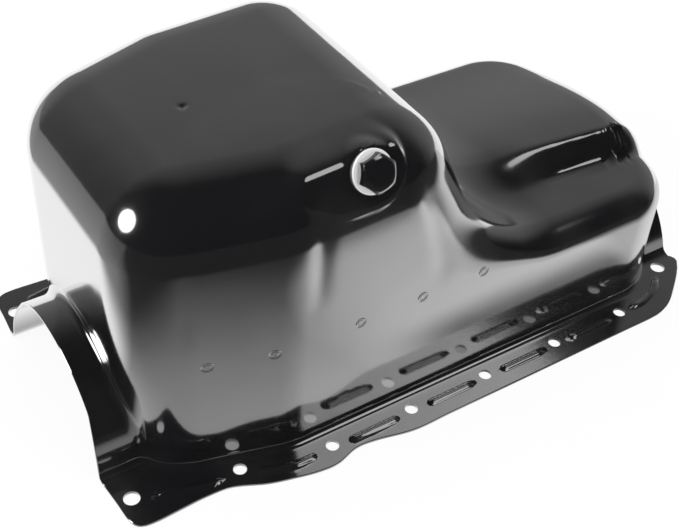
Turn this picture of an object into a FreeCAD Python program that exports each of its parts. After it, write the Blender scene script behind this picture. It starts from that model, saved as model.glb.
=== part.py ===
"""Engine oil pan, deep drawn from one steel sheet, with its drain plug and its baffle.

The pan lies upside down, as it comes to rest on its gasket face.
X runs from the deep sump (minus) to the shallow end (plus), Y across the rails and Z up from the gasket face.
The origin is the middle of the flange on the gasket face. All sizes are millimetres and degrees.
"""

import FreeCAD, Part
import Sketcher
import math
import os
from types import SimpleNamespace

Vector = FreeCAD.Vector

# Driving dimensions, one cell each

SIZES = {
    # Sheet
    "gauge": 1.8,
    "root_radius": 5.0,
    # Plan of the drawn form, measured on the outer face of its walls
    "half_width": 97.0,
    "sump_end": 186.0,
    "taper_start": 95.0,
    "taper_angle": 15.0,
    "taper_bend_radius": 60.0,
    "sump_corner_radius": 43.0,
    "shallow_end": 200.0,
    "shallow_corner_radius": 44.0,
    "shallow_bow_radius": 320.0,
    # Side profile of the drawn form. The sump's height is measured at the drain, and its floor rises to the slope
    "sump_height": 188.0,
    "sump_floor_angle": 2.9,
    "shallow_height": 82.0,
    "slope_start": -6.0,
    "slope_angle": 68.0,
    "slope_top_radius": 44.0,
    "slope_foot_radius": 75.0,
    "sump_edge_radius": 40.0,
    "shallow_edge_radius": 18.0,
    # Raised pad on the shallow floor
    "floor_pad_rise": 17.0,
    "floor_pad_edge_radius": 30.0,
    "floor_pad_half_width": 39.0,
    "floor_pad_side_angle": 36.0,
    "floor_pad_inset": 0.3,
    # Locating dimple in the sump floor
    "dimple_x": -117.1,
    "dimple_y": -3.6,
    "dimple_radius": 3.2,
    "dimple_depth": 1.2,
    # Upright draw flutes in the near wall
    "flute_radius": 25.0,
    "flute_depth": 0.8,
    "flute_low": 112.0,
    "flute_high": 144.0,
    "flute_x": -86.0,
    # Rails: bolt holes and edge. Offsets and insets across the rails count from the near wall's outer face
    "bolt_pitch": 55.88,
    "bolt_line_offset": 12.5,
    "bolt_start": -82.7,
    "bolt_hole_radius": 3.95,
    "corner_hole_radius": 4.75,
    "sump_corner_hole_x": -198.1,
    "sump_corner_hole_inset": 11.6,
    "sump_side_hole_x": -137.1,
    "sump_side_hole_offset": 0.7,
    "shallow_corner_hole_x": 194.7,
    "shallow_corner_hole_inset": 7.7,
    "rail_margin": 14.1,
    # Stiffening beads on the rails
    "bead_radius": 3.3,
    "bead_length": 35.0,
    "bead_line_offset": 14.7,
    # Arch strips that seat on the crankshaft seals
    "sump_arch_radius": 64.0,
    "sump_arch_edge": 204.5,
    "shallow_arch_radius": 82.6,
    "shallow_arch_drop": 20.6,
    "shallow_arch_edge": 207.5,
    # Drain boss, plug, washer and nut
    "drain_x": -54.5,
    "drain_rise": 12.3,
    "drain_tilt": 24.0,
    "boss_radius": 28.0,
    "boss_run": 10.0,
    "boss_rim_radius": 6.0,
    "boss_sink": 0.2,
    "spot_face_margin": 1.5,
    "thread_radius": 6.35,
    "thread_clearance": 0.05,
    "nut_radius": 10.0,
    "nut_length": 9.0,
    "collar_radius": 8.5,
    "collar_clearance": 0.05,
    "plug_across_flats": 19.05,
    "plug_head_height": 8.0,
    "plug_crown_radius": 7.8,
    "plug_crown_angle": 60.0,
    "plug_turn": 17.0,
    "plug_shank_length": 14.0,
    "plug_tip_length": 1.5,
    "washer_radius": 12.0,
    "washer_thickness": 1.5,
    "washer_clearance": 0.25,
    # Baffle that is spot-welded to both side walls
    "baffle_gauge": 1.5,
    "baffle_clearance": 0.05,
    "baffle_weld_height": 79.0,
    "baffle_flange_height": 14.0,
    "baffle_sump_end": 158.0,
    "baffle_shallow_end": 34.0,
    "baffle_window_radius": 36.0,
    "baffle_window_x": -96.0,
    "baffle_slot_length": 44.0,
    "baffle_slot_width": 12.0,
    "baffle_slot_pitch": 84.0,
}

document = FreeCAD.newDocument("engine_oil_pan")
sheet = document.addObject("Spreadsheet::Sheet", "sizes")
for row, (alias, value) in enumerate(SIZES.items(), start=1):
    sheet.set(f"A{row}", alias)
    sheet.set(f"B{row}", str(value))
    sheet.setAlias(f"B{row}", alias)
document.recompute()
size = SimpleNamespace(**{alias: float(sheet.get(alias)) for alias in SIZES})

# Lengths that only have to clear the part, not shape it
REACH = 60.0
BELOW = 20.0
TOUCH = 0.01

AXIS_X = Vector(1, 0, 0)
AXIS_Y = Vector(0, 1, 0)
AXIS_Z = Vector(0, 0, 1)
SOUTH = -math.pi / 2
WEST = -math.pi


def mirrored(point):
    """The same point on the far side of the pan."""
    return Vector(point.x, -point.y, point.z)


def on_circle(centre, radius, angle):
    """Point of a level circle at an angle from +X, in radians."""
    return centre + Vector(math.cos(angle), math.sin(angle), 0) * radius


def line(start, end):
    return Part.LineSegment(start, end).toShape()


def arc(start, middle, end):
    return Part.Arc(start, middle, end).toShape()


def round_bar(points, radius):
    """Round bar along straight runs, with a ball at each point, so that its ends and bends are round."""
    bar = Part.makeSphere(radius, points[0])
    for start, end in zip(points, points[1:]):
        run = end - start
        bar = bar.fuse(Part.makeCylinder(radius, run.Length, start, run))
        bar = bar.fuse(Part.makeSphere(radius, end))
    return bar


# Drawn form

taper = math.radians(size.taper_angle)
slope = math.radians(size.slope_angle)
floor_rise = math.radians(size.sump_floor_angle)


def sump_level(x, depth=0.0):
    """Level of the sump floor at a place along X, a depth inside its outer face."""
    return size.sump_height + (x - size.drain_x) * math.tan(floor_rise) - depth / math.cos(floor_rise)


def plan_outline(depth, level):
    """Closed plan of the walls, a depth inside their outer face, drawn at a level.

    The near half runs from the sump's end wall over its corner arc, the taper, the bend, the straight wall and
    the shallow corner to the bowed end wall. The far half mirrors it.
    """
    bend = Vector(-size.taper_start, size.taper_bend_radius - size.half_width, level)
    normal = Vector(math.cos(SOUTH - taper), math.sin(SOUTH - taper), 0)
    corner_x = size.sump_corner_radius - size.sump_end
    reach = normal.dot(bend) + size.taper_bend_radius - size.sump_corner_radius
    corner = Vector(corner_x, (reach - normal.x * corner_x) / normal.y, level)
    bow = Vector(size.shallow_end - size.shallow_bow_radius, 0, level)
    side = size.shallow_corner_radius - size.half_width
    run = math.sqrt((size.shallow_bow_radius - size.shallow_corner_radius) ** 2 - side ** 2)
    end_corner = Vector(bow.x + run, side, level)
    end_angle = math.atan2(side, run)

    corner_radius = size.sump_corner_radius - depth
    bend_radius = size.taper_bend_radius - depth
    end_radius = size.shallow_corner_radius - depth
    wall_end = on_circle(corner, corner_radius, WEST)
    corner_middle = on_circle(corner, corner_radius, (WEST + SOUTH - taper) / 2)
    taper_end = on_circle(corner, corner_radius, SOUTH - taper)
    taper_begin = on_circle(bend, bend_radius, SOUTH - taper)
    bend_middle = on_circle(bend, bend_radius, SOUTH - taper / 2)
    bend_end = on_circle(bend, bend_radius, SOUTH)
    side_end = on_circle(end_corner, end_radius, SOUTH)
    end_middle = on_circle(end_corner, end_radius, (SOUTH + end_angle) / 2)
    bow_start = on_circle(end_corner, end_radius, end_angle)
    bow_middle = on_circle(bow, size.shallow_bow_radius - depth, 0)

    near = [
        arc(wall_end, corner_middle, taper_end),
        line(taper_end, taper_begin),
        arc(taper_begin, bend_middle, bend_end),
        line(bend_end, side_end),
        arc(side_end, end_middle, bow_start),
    ]
    far = [edge.mirror(Vector(), AXIS_Y) for edge in near]
    ends = [arc(bow_start, bow_middle, mirrored(bow_start)), line(mirrored(wall_end), wall_end)]
    return Part.Wire(Part.__sortEdges__(near + far + ends))


def side_profile(depth, floor, bottom):
    """Closed side view of the form down to a bottom level, a depth inside its outer face.

    The sump floor rounds over into the slope, and the slope rounds out into the shallow floor.
    """

    def around(centre, radius, angle):
        return centre + Vector(math.sin(angle), 0, math.cos(angle)) * radius

    slope_run = (sump_level(size.slope_start) - floor) / math.tan(slope)
    top_tangent = size.slope_top_radius * math.tan((slope + floor_rise) / 2)
    foot_tangent = size.slope_foot_radius * math.tan(slope / 2)
    top_x = size.slope_start - top_tangent * math.cos(floor_rise)
    top = around(Vector(top_x, 0, sump_level(top_x)), -size.slope_top_radius, -floor_rise)
    foot = Vector(size.slope_start + slope_run + foot_tangent, 0, floor + size.slope_foot_radius)
    top_radius = size.slope_top_radius - depth
    foot_radius = -(size.slope_foot_radius + depth)
    far_sump = -size.sump_end - REACH
    far_shallow = size.shallow_end + REACH
    corners = [
        Vector(far_sump, 0, sump_level(far_sump, depth)),
        around(top, top_radius, -floor_rise),
        around(top, top_radius, slope),
        around(foot, foot_radius, slope),
        around(foot, foot_radius, 0),
        Vector(far_shallow, 0, floor - depth),
        Vector(far_shallow, 0, bottom),
        Vector(far_sump, 0, bottom),
    ]
    edges = [line(start, end) for start, end in zip(corners, corners[1:] + corners[:1])]
    edges[1] = arc(corners[1], around(top, top_radius, (slope - floor_rise) / 2), corners[2])
    edges[3] = arc(corners[3], around(foot, foot_radius, slope / 2), corners[4])
    return Part.Wire(edges)


def drawn_form(depth, floor, floor_edge_radius):
    """Solid of the drawn form: its plan raised to its side profile, with the top edge rounded.

    The edge radius is that of the sump along the sump floor and falls along the slope to that of the shallow
    floor. Both shrink with the depth, so that the sheet keeps its gauge.
    """
    width = 2 * (size.half_width + REACH)
    plan = Part.Face(plan_outline(depth, -BELOW)).extrude(AXIS_Z * (size.sump_height + REACH))
    profile = side_profile(depth, floor, -BELOW)
    profile.translate(Vector(0, -width / 2, 0))
    form = plan.common(Part.Face(profile).extrude(AXIS_Y * width)).Solids[0]

    outline = plan_outline(depth, 0)
    slope_begin = size.slope_start
    slope_end = size.slope_start + (size.sump_height - floor) / math.tan(slope)

    def radius_at(point):
        share = min(max((point.x - slope_begin) / (slope_end - slope_begin), 0.0), 1.0)
        return size.sump_edge_radius + share * (floor_edge_radius - size.sump_edge_radius) - depth

    rounded = []
    for number, edge in enumerate(form.Edges, start=1):
        middle = edge.valueAt((edge.FirstParameter + edge.LastParameter) / 2)
        upright = edge.BoundBox.XLength + edge.BoundBox.YLength < TOUCH
        on_wall = outline.distToShape(Part.Vertex(middle.x, middle.y, 0))[0] < TOUCH
        if on_wall and middle.z > 0 and not upright:
            first = radius_at(edge.valueAt(edge.FirstParameter))
            last = radius_at(edge.valueAt(edge.LastParameter))
            rounded.append((number, first, last))
    blank = document.addObject("Part::Feature", "form_blank")
    blank.Shape = form
    fillet = document.addObject("Part::Fillet", "form_fillet")
    fillet.Base = blank
    fillet.Edges = rounded
    document.recompute()
    shape = fillet.Shape.copy()
    document.removeObject(fillet.Name)
    document.removeObject(blank.Name)
    return shape


def floor_pad(depth):
    """Raised pad of the shallow floor: the same form with a higher floor, between two leaning sides.

    Its slope and its end wall stay a small inset under those of the pan, so that the pad leaves them at an angle.
    """
    height = size.shallow_height + size.floor_pad_rise + size.floor_pad_inset
    lean = math.tan(math.radians(size.floor_pad_side_angle))
    shrink = depth / math.cos(math.radians(size.floor_pad_side_angle))
    half = size.floor_pad_half_width - shrink
    base = size.shallow_height - 2 * size.shallow_edge_radius
    base_half = half + lean * (height - base)
    ridge = Vector(0, 0, height + half / lean)
    corners = [Vector(0, -base_half, base), ridge, Vector(0, base_half, base), Vector(0, -base_half, base)]
    sides = Part.Face(Part.makePolygon(corners)).extrude(AXIS_X * (size.shallow_end + REACH))
    return drawn_form(depth + size.floor_pad_inset, height, size.floor_pad_edge_radius).common(sides)


# Drain boss: a flat that leaves the rounded edge on its tangent and runs up to the sump floor

tilt = math.radians(size.drain_tilt)
drain_axis = Vector(0, -math.cos(tilt), math.sin(tilt))
drain_up = Vector(0, math.sin(tilt), math.cos(tilt))
edge_centre = Vector(0, size.sump_edge_radius - size.half_width, size.sump_height - size.sump_edge_radius)
seat = drain_axis.dot(edge_centre) + size.sump_edge_radius - size.boss_sink
edge_rise = drain_up.dot(edge_centre)
drain_point = AXIS_X * size.drain_x + drain_axis * seat + drain_up * (edge_rise + size.drain_rise)


def drain_boss(depth):
    """Boss solid, a depth inside its outer face: a slot-shaped post that the sump floor's level cuts off."""
    radius = size.boss_radius - depth
    right = drain_point - drain_axis * depth
    left = right - AXIS_X * size.boss_run
    edges = [
        line(left + drain_up * radius, right + drain_up * radius),
        arc(right + drain_up * radius, right + AXIS_X * radius, right - drain_up * radius),
        line(right - drain_up * radius, left - drain_up * radius),
        arc(left - drain_up * radius, left - AXIS_X * radius, left + drain_up * radius),
    ]
    post = Part.Face(Part.Wire(edges)).extrude(drain_axis * -size.half_width)
    room = 4 * size.half_width
    corners = [Vector(x, -room / 2, z) for x, z in (
        (-room, -room), (room, -room), (room, sump_level(room, depth)), (-room, sump_level(-room, depth)),
        (-room, -room))]
    under_floor = Part.Face(Part.makePolygon(corners)).extrude(AXIS_Y * room)
    above_tangent = Part.makeBox(room, room, room, Vector(-room / 2, -room / 2, 0))
    above_tangent.Placement = FreeCAD.Placement(drain_up * edge_rise, FreeCAD.Rotation(AXIS_Z, drain_up))
    post = post.common(under_floor).common(above_tangent)
    face_level = seat - depth
    rim = []
    for edge in post.Edges:
        middle = edge.valueAt((edge.FirstParameter + edge.LastParameter) / 2)
        on_face = abs(drain_axis.dot(middle) - face_level) < TOUCH
        at_tangent = abs(drain_up.dot(middle) - edge_rise) < TOUCH
        if on_face and not at_tangent:
            rim.append(edge)
    return post.makeFillet(size.boss_rim_radius - depth, rim)


# Rails, ears and arch strips

ROW_HOLES = 5


def bolt_holes():
    """Centres and radii of the bolt holes on the near side, from the sump's corner to the shallow corner."""

    def beside_wall(x, offset):
        return Vector(x, -size.half_width - offset, 0)

    holes = [
        (beside_wall(size.sump_corner_hole_x, -size.sump_corner_hole_inset), size.corner_hole_radius),
        (beside_wall(size.sump_side_hole_x, size.sump_side_hole_offset), size.bolt_hole_radius),
    ]
    for number in range(ROW_HOLES):
        centre = beside_wall(size.bolt_start + number * size.bolt_pitch, size.bolt_line_offset)
        holes.append((centre, size.bolt_hole_radius))
    centre = beside_wall(size.shallow_corner_hole_x, -size.shallow_corner_hole_inset)
    holes.append((centre, size.corner_hole_radius))
    return holes


# Rail edge near each hole, as steps from that hole's centre
SUMP_EAR = [(-8.3, 1.5), (-7.3, -13.3), (-3.4, -18.9), (4.9, -20.5), (21.2, -19.9), (35.8, -19.4)]
SIDE_EAR = [(-9.3, -8.5), (8.5, -16.3), (24.2, -20.8)]
FIRST_EAR = [(-15.6, -12.1), (-3.3, -12.5), (11.4, -8.3), (24.6, -9.1)]
SHALLOW_EAR = [(-26.8, -32.8), (-14.2, -27.5), (6.3, -12.4), (15.0, -4.1), (17.9, 0.3), (16.4, 4.8)]
RAIL_BEGIN = 49.2
RAIL_END = 37.7
SUMP_FOOT = (-9.9, 2.0)
SHALLOW_FOOT = (15.2, 8.6)

# Share of the sump arch's radius at which its strip begins to flare towards the ear
SUMP_FLARE = 0.79

# Beads beside the ears, as steps from the hole that each starts and ends at
SUMP_BEAD = [(13.0, -6.8), (27.0, -9.4)]
SUMP_BEAD_END = [(-15.0, -1.6)]
SIDE_BEAD = [(11.0, -7.6), (28.5, -13.4)]
SIDE_BEAD_END = [(-14.9, -1.9)]
SHALLOW_BEAD = [(-42.0, -21.2), (-34.0, -21.0), (-23.5, -17.7), (-15.3, -13.6), (-12.6, -10.6)]


def near(hole, steps):
    """Points at level steps from a hole's centre."""
    return [hole + Vector(x, y, 0) for x, y in steps]


def flange_prism(height):
    """Upright prism on the whole plan of the flange, with the arch strips, from the gasket face up."""
    holes = [centre for centre, _ in bolt_holes()]
    foot_y = -(size.sump_arch_radius + SUMP_FOOT[1])
    sump_foot = Vector(size.sump_corner_hole_x + SUMP_FOOT[0], foot_y, 0)
    rail_y = holes[2].y - size.rail_margin
    rail_begin = Vector(holes[2].x + RAIL_BEGIN, rail_y, 0)
    rail_end = Vector(holes[-1].x - RAIL_END, rail_y, 0)
    shallow_foot = holes[-1] + Vector(SHALLOW_FOOT[0], SHALLOW_FOOT[1], 0)
    sump_side = Part.BSplineCurve()
    sump_points = [sump_foot] + near(holes[0], SUMP_EAR) + near(holes[1], SIDE_EAR)
    sump_points += near(holes[2], FIRST_EAR) + [rail_begin]
    sump_side.interpolate(Points=sump_points)
    shallow_side = Part.BSplineCurve()
    shallow_side.interpolate(Points=[rail_end] + near(holes[-1], SHALLOW_EAR) + [shallow_foot])
    edges = [sump_side.toShape(), line(rail_begin, rail_end), shallow_side.toShape()]
    flare = Vector(-size.sump_arch_edge, -size.sump_arch_radius * SUMP_FLARE, 0)
    seat_end = Vector(size.shallow_arch_edge, shallow_foot.y / 2, 0)
    edges += [line(flare, sump_foot), line(shallow_foot, seat_end)]
    edges += [edge.mirror(Vector(), AXIS_Y) for edge in edges]
    edges += [line(flare, mirrored(flare)), line(seat_end, mirrored(seat_end))]
    return Part.Face(Part.Wire(Part.__sortEdges__(edges))).extrude(AXIS_Z * height)


def arch_posts(depth):
    """Lying round posts, a depth inside the upper face of the two arch strips."""
    length = size.shallow_arch_edge + REACH
    sump = Part.makeCylinder(size.sump_arch_radius - depth, length, Vector(), -AXIS_X)
    drop = Vector(0, 0, -size.shallow_arch_drop)
    shallow = Part.makeCylinder(size.shallow_arch_radius - depth, length, drop, AXIS_X)
    return [sump, shallow]


def beads(depth):
    """Round-backed stiffening beads of the near rail, a depth inside their outer face."""
    holes = [centre for centre, _ in bolt_holes()]
    radius = size.bead_radius - depth
    half = size.bead_length / 2 - size.bead_radius
    runs = []
    for start, end in zip(holes[2:6], holes[3:7]):
        middle = Vector((start.x + end.x) / 2, -size.half_width - size.bead_line_offset, 0)
        runs.append([middle - AXIS_X * half, middle + AXIS_X * half])
    corner, side, first, last = holes[0], holes[1], holes[2], holes[-1]
    runs.append(near(corner, SUMP_BEAD) + near(side, SUMP_BEAD_END))
    runs.append(near(side, SIDE_BEAD) + near(first, SIDE_BEAD_END))
    runs.append(near(last, SHALLOW_BEAD))
    return [round_bar(points, radius) for points in runs]


def skin(depth):
    """Everything under the skin that lies a depth inside the pan's outer face.

    The rail's level, the drawn form and the arch posts meet in hollow corners, which are rounded together.
    """
    top = size.gauge - depth
    room = 2 * (size.shallow_end + REACH)
    base = Part.makeBox(room, room, top + BELOW, Vector(-room / 2, -room / 2, -BELOW))
    form = drawn_form(depth, size.shallow_height, size.shallow_edge_radius)
    body = base.fuse([form] + arch_posts(depth)).removeSplitter()

    outline = plan_outline(depth, 0)
    drops = (0.0, size.shallow_arch_drop)
    radii = (size.sump_arch_radius - depth, size.shallow_arch_radius - depth)
    roots = []
    for edge in body.Edges:
        middle = edge.valueAt((edge.FirstParameter + edge.LastParameter) / 2)
        drop = drops[middle.x > 0]
        radius = radii[middle.x > 0]
        on_level = abs(middle.z - top) < TOUCH
        on_wall = outline.distToShape(Part.Vertex(middle.x, middle.y, 0))[0] < TOUCH
        on_arch = abs(math.hypot(middle.y, middle.z + drop) - radius) < TOUCH
        inside = middle.z > -BELOW / 2 and abs(middle.x) < size.shallow_arch_edge + REACH / 2
        if inside and on_level + on_wall + on_arch > 1:
            roots.append(edge)
    body = body.makeFillet(size.root_radius + depth, roots)

    near_beads = beads(depth)
    far_beads = [bead.mirror(Vector(), AXIS_Y) for bead in near_beads]
    body = body.fuse([floor_pad(depth), drain_boss(depth)] + near_beads + far_beads)
    dimple_level = sump_level(size.dimple_x) - size.dimple_depth
    dimple_centre = Vector(size.dimple_x, size.dimple_y, dimple_level + size.dimple_radius)
    dimple = Part.makeSphere(size.dimple_radius + depth, dimple_centre)
    flute_y = -size.half_width - size.flute_radius + size.flute_depth
    flute = round_bar([Vector(size.flute_x, flute_y, size.flute_low),
                       Vector(size.flute_x, flute_y, size.flute_high)], size.flute_radius + depth)
    return body.cut([dimple, flute]).removeSplitter()


def pan_shell(inner):
    """The drawn sheet: outer skin less inner skin, trimmed to the flange and pierced."""
    prism = flange_prism(size.sump_height + REACH)
    shell = skin(0.0).common(prism).cut(inner)
    tools = []
    for centre, radius in bolt_holes():
        tools.append(Part.makeCylinder(radius, 2 * BELOW, centre - AXIS_Z * BELOW))
        tools.append(Part.makeCylinder(radius, 2 * BELOW, mirrored(centre) - AXIS_Z * BELOW))
    inward = drain_point - drain_axis * BELOW
    tools.append(Part.makeCylinder(size.collar_radius, 2 * BELOW, inward, drain_axis))
    spot_radius = size.washer_radius + size.spot_face_margin
    tools.append(Part.makeCylinder(spot_radius, BELOW, drain_point, drain_axis))
    return shell.cut(tools).removeSplitter()


def baffle(inner):
    """Folded plate across the sump: a level web with a flange up each side wall, a window and four slots."""
    web_level = size.baffle_weld_height - size.baffle_flange_height / 2
    height = size.baffle_flange_height
    span = size.baffle_sump_end + size.baffle_shallow_end
    width = 2 * size.half_width
    block = Part.makeBox(span, width, height, Vector(-size.baffle_sump_end, -width / 2, web_level))
    depth = size.gauge + size.baffle_clearance
    folded = Part.Face(plan_outline(depth, web_level)).extrude(AXIS_Z * height).common(block)
    hollow_level = web_level + size.baffle_gauge
    hollow = Part.Face(plan_outline(depth + size.baffle_gauge, hollow_level)).extrude(AXIS_Z * height)
    window = Part.makeCylinder(size.baffle_window_radius, height, Vector(size.baffle_window_x, 0, web_level))
    tools = [hollow, window]
    slot_y = (size.baffle_window_radius + size.half_width) / 2
    for slot_x in (size.baffle_window_x, size.baffle_window_x + size.baffle_slot_pitch):
        for side in (-1, 1):
            corner = Vector(slot_x - size.baffle_slot_length / 2, side * slot_y - size.baffle_slot_width / 2,
                            web_level)
            tools.append(Part.makeBox(size.baffle_slot_length, size.baffle_slot_width, height, corner))
    return folded.cut(tools).common(inner)


# Turned pieces of the drain, each along +Z from the boss outwards

def bind(item, **cells):
    """Bind an object's properties to expressions of the sheet's cells."""
    for name, expression in cells.items():
        item.setExpression(name, expression)


def on_drain(offset, turn=0.0):
    """Placement with +Z on the drain's axis, at an offset outwards from the boss, turned about that axis."""
    level = FreeCAD.Placement(drain_point + drain_axis * offset, FreeCAD.Rotation(AXIS_X, drain_up, drain_axis))
    return level.multiply(FreeCAD.Placement(Vector(), FreeCAD.Rotation(AXIS_Z, turn)))


def round_pad(body, name, radii, length, reverse=False):
    """Pad of round rings on a body's base plane. Each radius and the length is an expression."""
    sketch = body.newObject("Sketcher::SketchObject", name + "_sketch")
    plane = next(item for item in body.Origin.OriginFeatures if item.Role == "XY_Plane")
    sketch.AttachmentSupport = [(plane, "")]
    sketch.MapMode = "FlatFace"
    for number, radius in enumerate(radii):
        circle = sketch.addGeometry(Part.Circle(Vector(), AXIS_Z, len(radii) - number), False)
        sketch.addConstraint(Sketcher.Constraint("Coincident", circle, 3, -1, 1))
        constraint = sketch.addConstraint(Sketcher.Constraint("Radius", circle, len(radii) - number))
        sketch.setExpression(f"Constraints[{constraint}]", radius)
    pad = body.newObject("PartDesign::Pad", name)
    pad.Profile = sketch
    pad.Reversed = reverse
    bind(pad, Length=length)
    body.Tip = pad
    document.recompute()
    return pad


def drain_washer():
    body = document.addObject("PartDesign::Body", "drain_washer")
    bore = "sizes.thread_radius + sizes.washer_clearance"
    round_pad(body, "washer_ring", ("sizes.washer_radius", bore), "sizes.washer_thickness")
    body.Placement = on_drain(0)
    return body


def drain_nut():
    """Nut behind the boss, with a collar that fills the hole in the sheet."""
    body = document.addObject("PartDesign::Body", "drain_nut")
    bore = "sizes.thread_radius + sizes.thread_clearance"
    collar = "sizes.collar_radius - sizes.collar_clearance"
    round_pad(body, "nut_ring", ("sizes.nut_radius", bore), "sizes.nut_length", True)
    round_pad(body, "nut_collar", (collar, bore), "sizes.gauge - sizes.collar_clearance")
    body.Placement = on_drain(-size.gauge)
    return body


def drain_plug():
    """Hex-head plug: a hexagon under a crowning cone, and a shank with a tapered tip."""
    hexagon = document.addObject("Part::Prism", "plug_hexagon")
    hexagon.Polygon = 6
    bind(hexagon, Circumradius="sizes.plug_across_flats / (2 * cos(30 deg))", Height="sizes.plug_head_height")
    crown = document.addObject("Part::Cone", "plug_crown")
    bind(crown, Height="sizes.plug_head_height", Radius2="sizes.plug_crown_radius",
         Radius1="sizes.plug_crown_radius + sizes.plug_head_height * tan(sizes.plug_crown_angle * 1 deg)")
    head = document.addObject("Part::Common", "plug_head")
    head.Base = hexagon
    head.Tool = crown
    shank = document.addObject("Part::Cylinder", "plug_shank")
    bind(shank, Radius="sizes.thread_radius", Height="sizes.plug_shank_length")
    shank.setExpression("Placement.Base.z", "-sizes.plug_shank_length")
    tip = document.addObject("Part::Cone", "plug_tip")
    bind(tip, Radius1="sizes.thread_radius - sizes.plug_tip_length", Radius2="sizes.thread_radius",
         Height="sizes.plug_tip_length")
    tip.setExpression("Placement.Base.z", "-sizes.plug_shank_length - sizes.plug_tip_length")
    plug = document.addObject("Part::MultiFuse", "drain_plug")
    plug.Shapes = [head, shank, tip]
    plug.Refine = True
    plug.Placement = on_drain(size.washer_thickness, size.plug_turn)
    return plug


def sheet_feature(label, shape):
    feature = document.addObject("Part::Feature", label)
    feature.Shape = shape
    feature.Placement = FreeCAD.Placement()
    return feature


def build():
    """Build every piece, check it and write it to its own file."""
    inner = skin(size.gauge)
    pieces = [
        sheet_feature("pan_shell", pan_shell(inner)),
        sheet_feature("sump_baffle", baffle(inner)),
        drain_nut(),
        drain_washer(),
        drain_plug(),
    ]
    for piece in pieces:
        piece.Label = piece.Name
    document.recompute()
    for item in document.Objects:
        if "Invalid" in item.State or "Error" in item.State:
            raise RuntimeError(f"{item.Name} did not compute: {item.State}")
    os.makedirs("parts", exist_ok=True)
    for piece in pieces:
        shape = piece.Shape
        if shape.isNull() or not shape.isValid() or len(shape.Solids) != 1:
            raise RuntimeError(f"{piece.Label} is not one valid solid")
        shape.exportStep(f"parts/{piece.Label}.step")
        print(f"{piece.Label}: {shape.Volume:.0f} cubic millimetres")


build()
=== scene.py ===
"""Looks of the engine oil pan: glossy black drawn shell, drain plug, washer, nut and baffle in a pale studio.

Sizes are millimetres and degrees unless a name says otherwise. Everything is scaled to metres when a mesh is made.
"""
import logging
import math
from dataclasses import dataclass, field
from enum import Enum

import bpy
import numpy as np
from mathutils import Matrix, Vector


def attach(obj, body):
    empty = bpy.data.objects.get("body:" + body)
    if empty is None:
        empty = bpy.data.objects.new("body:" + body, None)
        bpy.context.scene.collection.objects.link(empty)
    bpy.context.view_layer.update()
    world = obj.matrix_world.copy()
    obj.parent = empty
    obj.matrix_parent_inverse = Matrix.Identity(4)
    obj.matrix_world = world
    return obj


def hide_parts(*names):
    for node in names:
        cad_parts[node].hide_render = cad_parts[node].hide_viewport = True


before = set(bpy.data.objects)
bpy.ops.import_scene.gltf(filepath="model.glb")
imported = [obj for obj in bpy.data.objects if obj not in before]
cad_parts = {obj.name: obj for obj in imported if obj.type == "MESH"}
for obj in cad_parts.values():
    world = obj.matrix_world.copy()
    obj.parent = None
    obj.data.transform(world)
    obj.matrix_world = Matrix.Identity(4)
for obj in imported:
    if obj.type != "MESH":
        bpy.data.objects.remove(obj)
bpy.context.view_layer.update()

MM = 0.001
LOG = logging.getLogger("oil_pan")


class Side(Enum):
    """Rail side of the pan: the plug is on the near side."""

    NEAR = -1
    FAR = 1


def smooth(share: np.ndarray) -> np.ndarray:
    """Smooth step: 3t² - 2t³ with t clipped to 0 and 1."""
    t = np.clip(share, 0.0, 1.0)
    return t * t * (3.0 - 2.0 * t)


def soft_max(first: np.ndarray, second: np.ndarray, reach: float) -> np.ndarray:
    """Larger of two heights, rounded where they are within a reach of each other.

    With g the clipped closeness 1 - |a - b| / reach, it is max(a, b) + g² reach / 4.
    """
    closeness = np.clip(1.0 - np.abs(first - second) / reach, 0.0, 1.0)
    return np.maximum(first, second) + closeness * closeness * reach * 0.25


def segment_distance(x: np.ndarray, y: np.ndarray, start: tuple, end: tuple) -> np.ndarray:
    """Distance in a plane from points to the segment between two points."""
    run_x, run_y = end[0] - start[0], end[1] - start[1]
    share = ((x - start[0]) * run_x + (y - start[1]) * run_y) / (run_x * run_x + run_y * run_y)
    share = np.clip(share, 0.0, 1.0)
    return np.hypot(x - start[0] - share * run_x, y - start[1] - share * run_y)


def smooth_path(points: list, per_span: int = 12) -> np.ndarray:
    """Curve through points: Catmull-Rom spans, each a cubic whose end slopes are half the neighbours' chord.

    Args:
        points: The points, in order.
        per_span: Samples in each span.

    Returns:
        The samples as an array with one row each.
    """
    knots = np.array(points, dtype=float)
    padded = np.vstack([2 * knots[0] - knots[1], knots, 2 * knots[-1] - knots[-2]])
    share = np.linspace(0.0, 1.0, per_span, endpoint=False)[:, None]
    before, start, end, after = (padded[k:len(padded) - 3 + k, None, :] for k in range(4))
    cubic = 0.5 * (2 * start + (end - before) * share
                   + (2 * before - 5 * start + 4 * end - after) * share ** 2
                   + (3 * start - before - 3 * end + after) * share ** 3)
    return np.vstack([cubic.reshape(-1, knots.shape[1]), knots[-1:]])


def path_lengths(path: np.ndarray) -> np.ndarray:
    """Length along a path up to each of its points."""
    steps = np.linalg.norm(np.diff(path, axis=0), axis=1)
    return np.concatenate([[0.0], np.cumsum(steps)])


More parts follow.
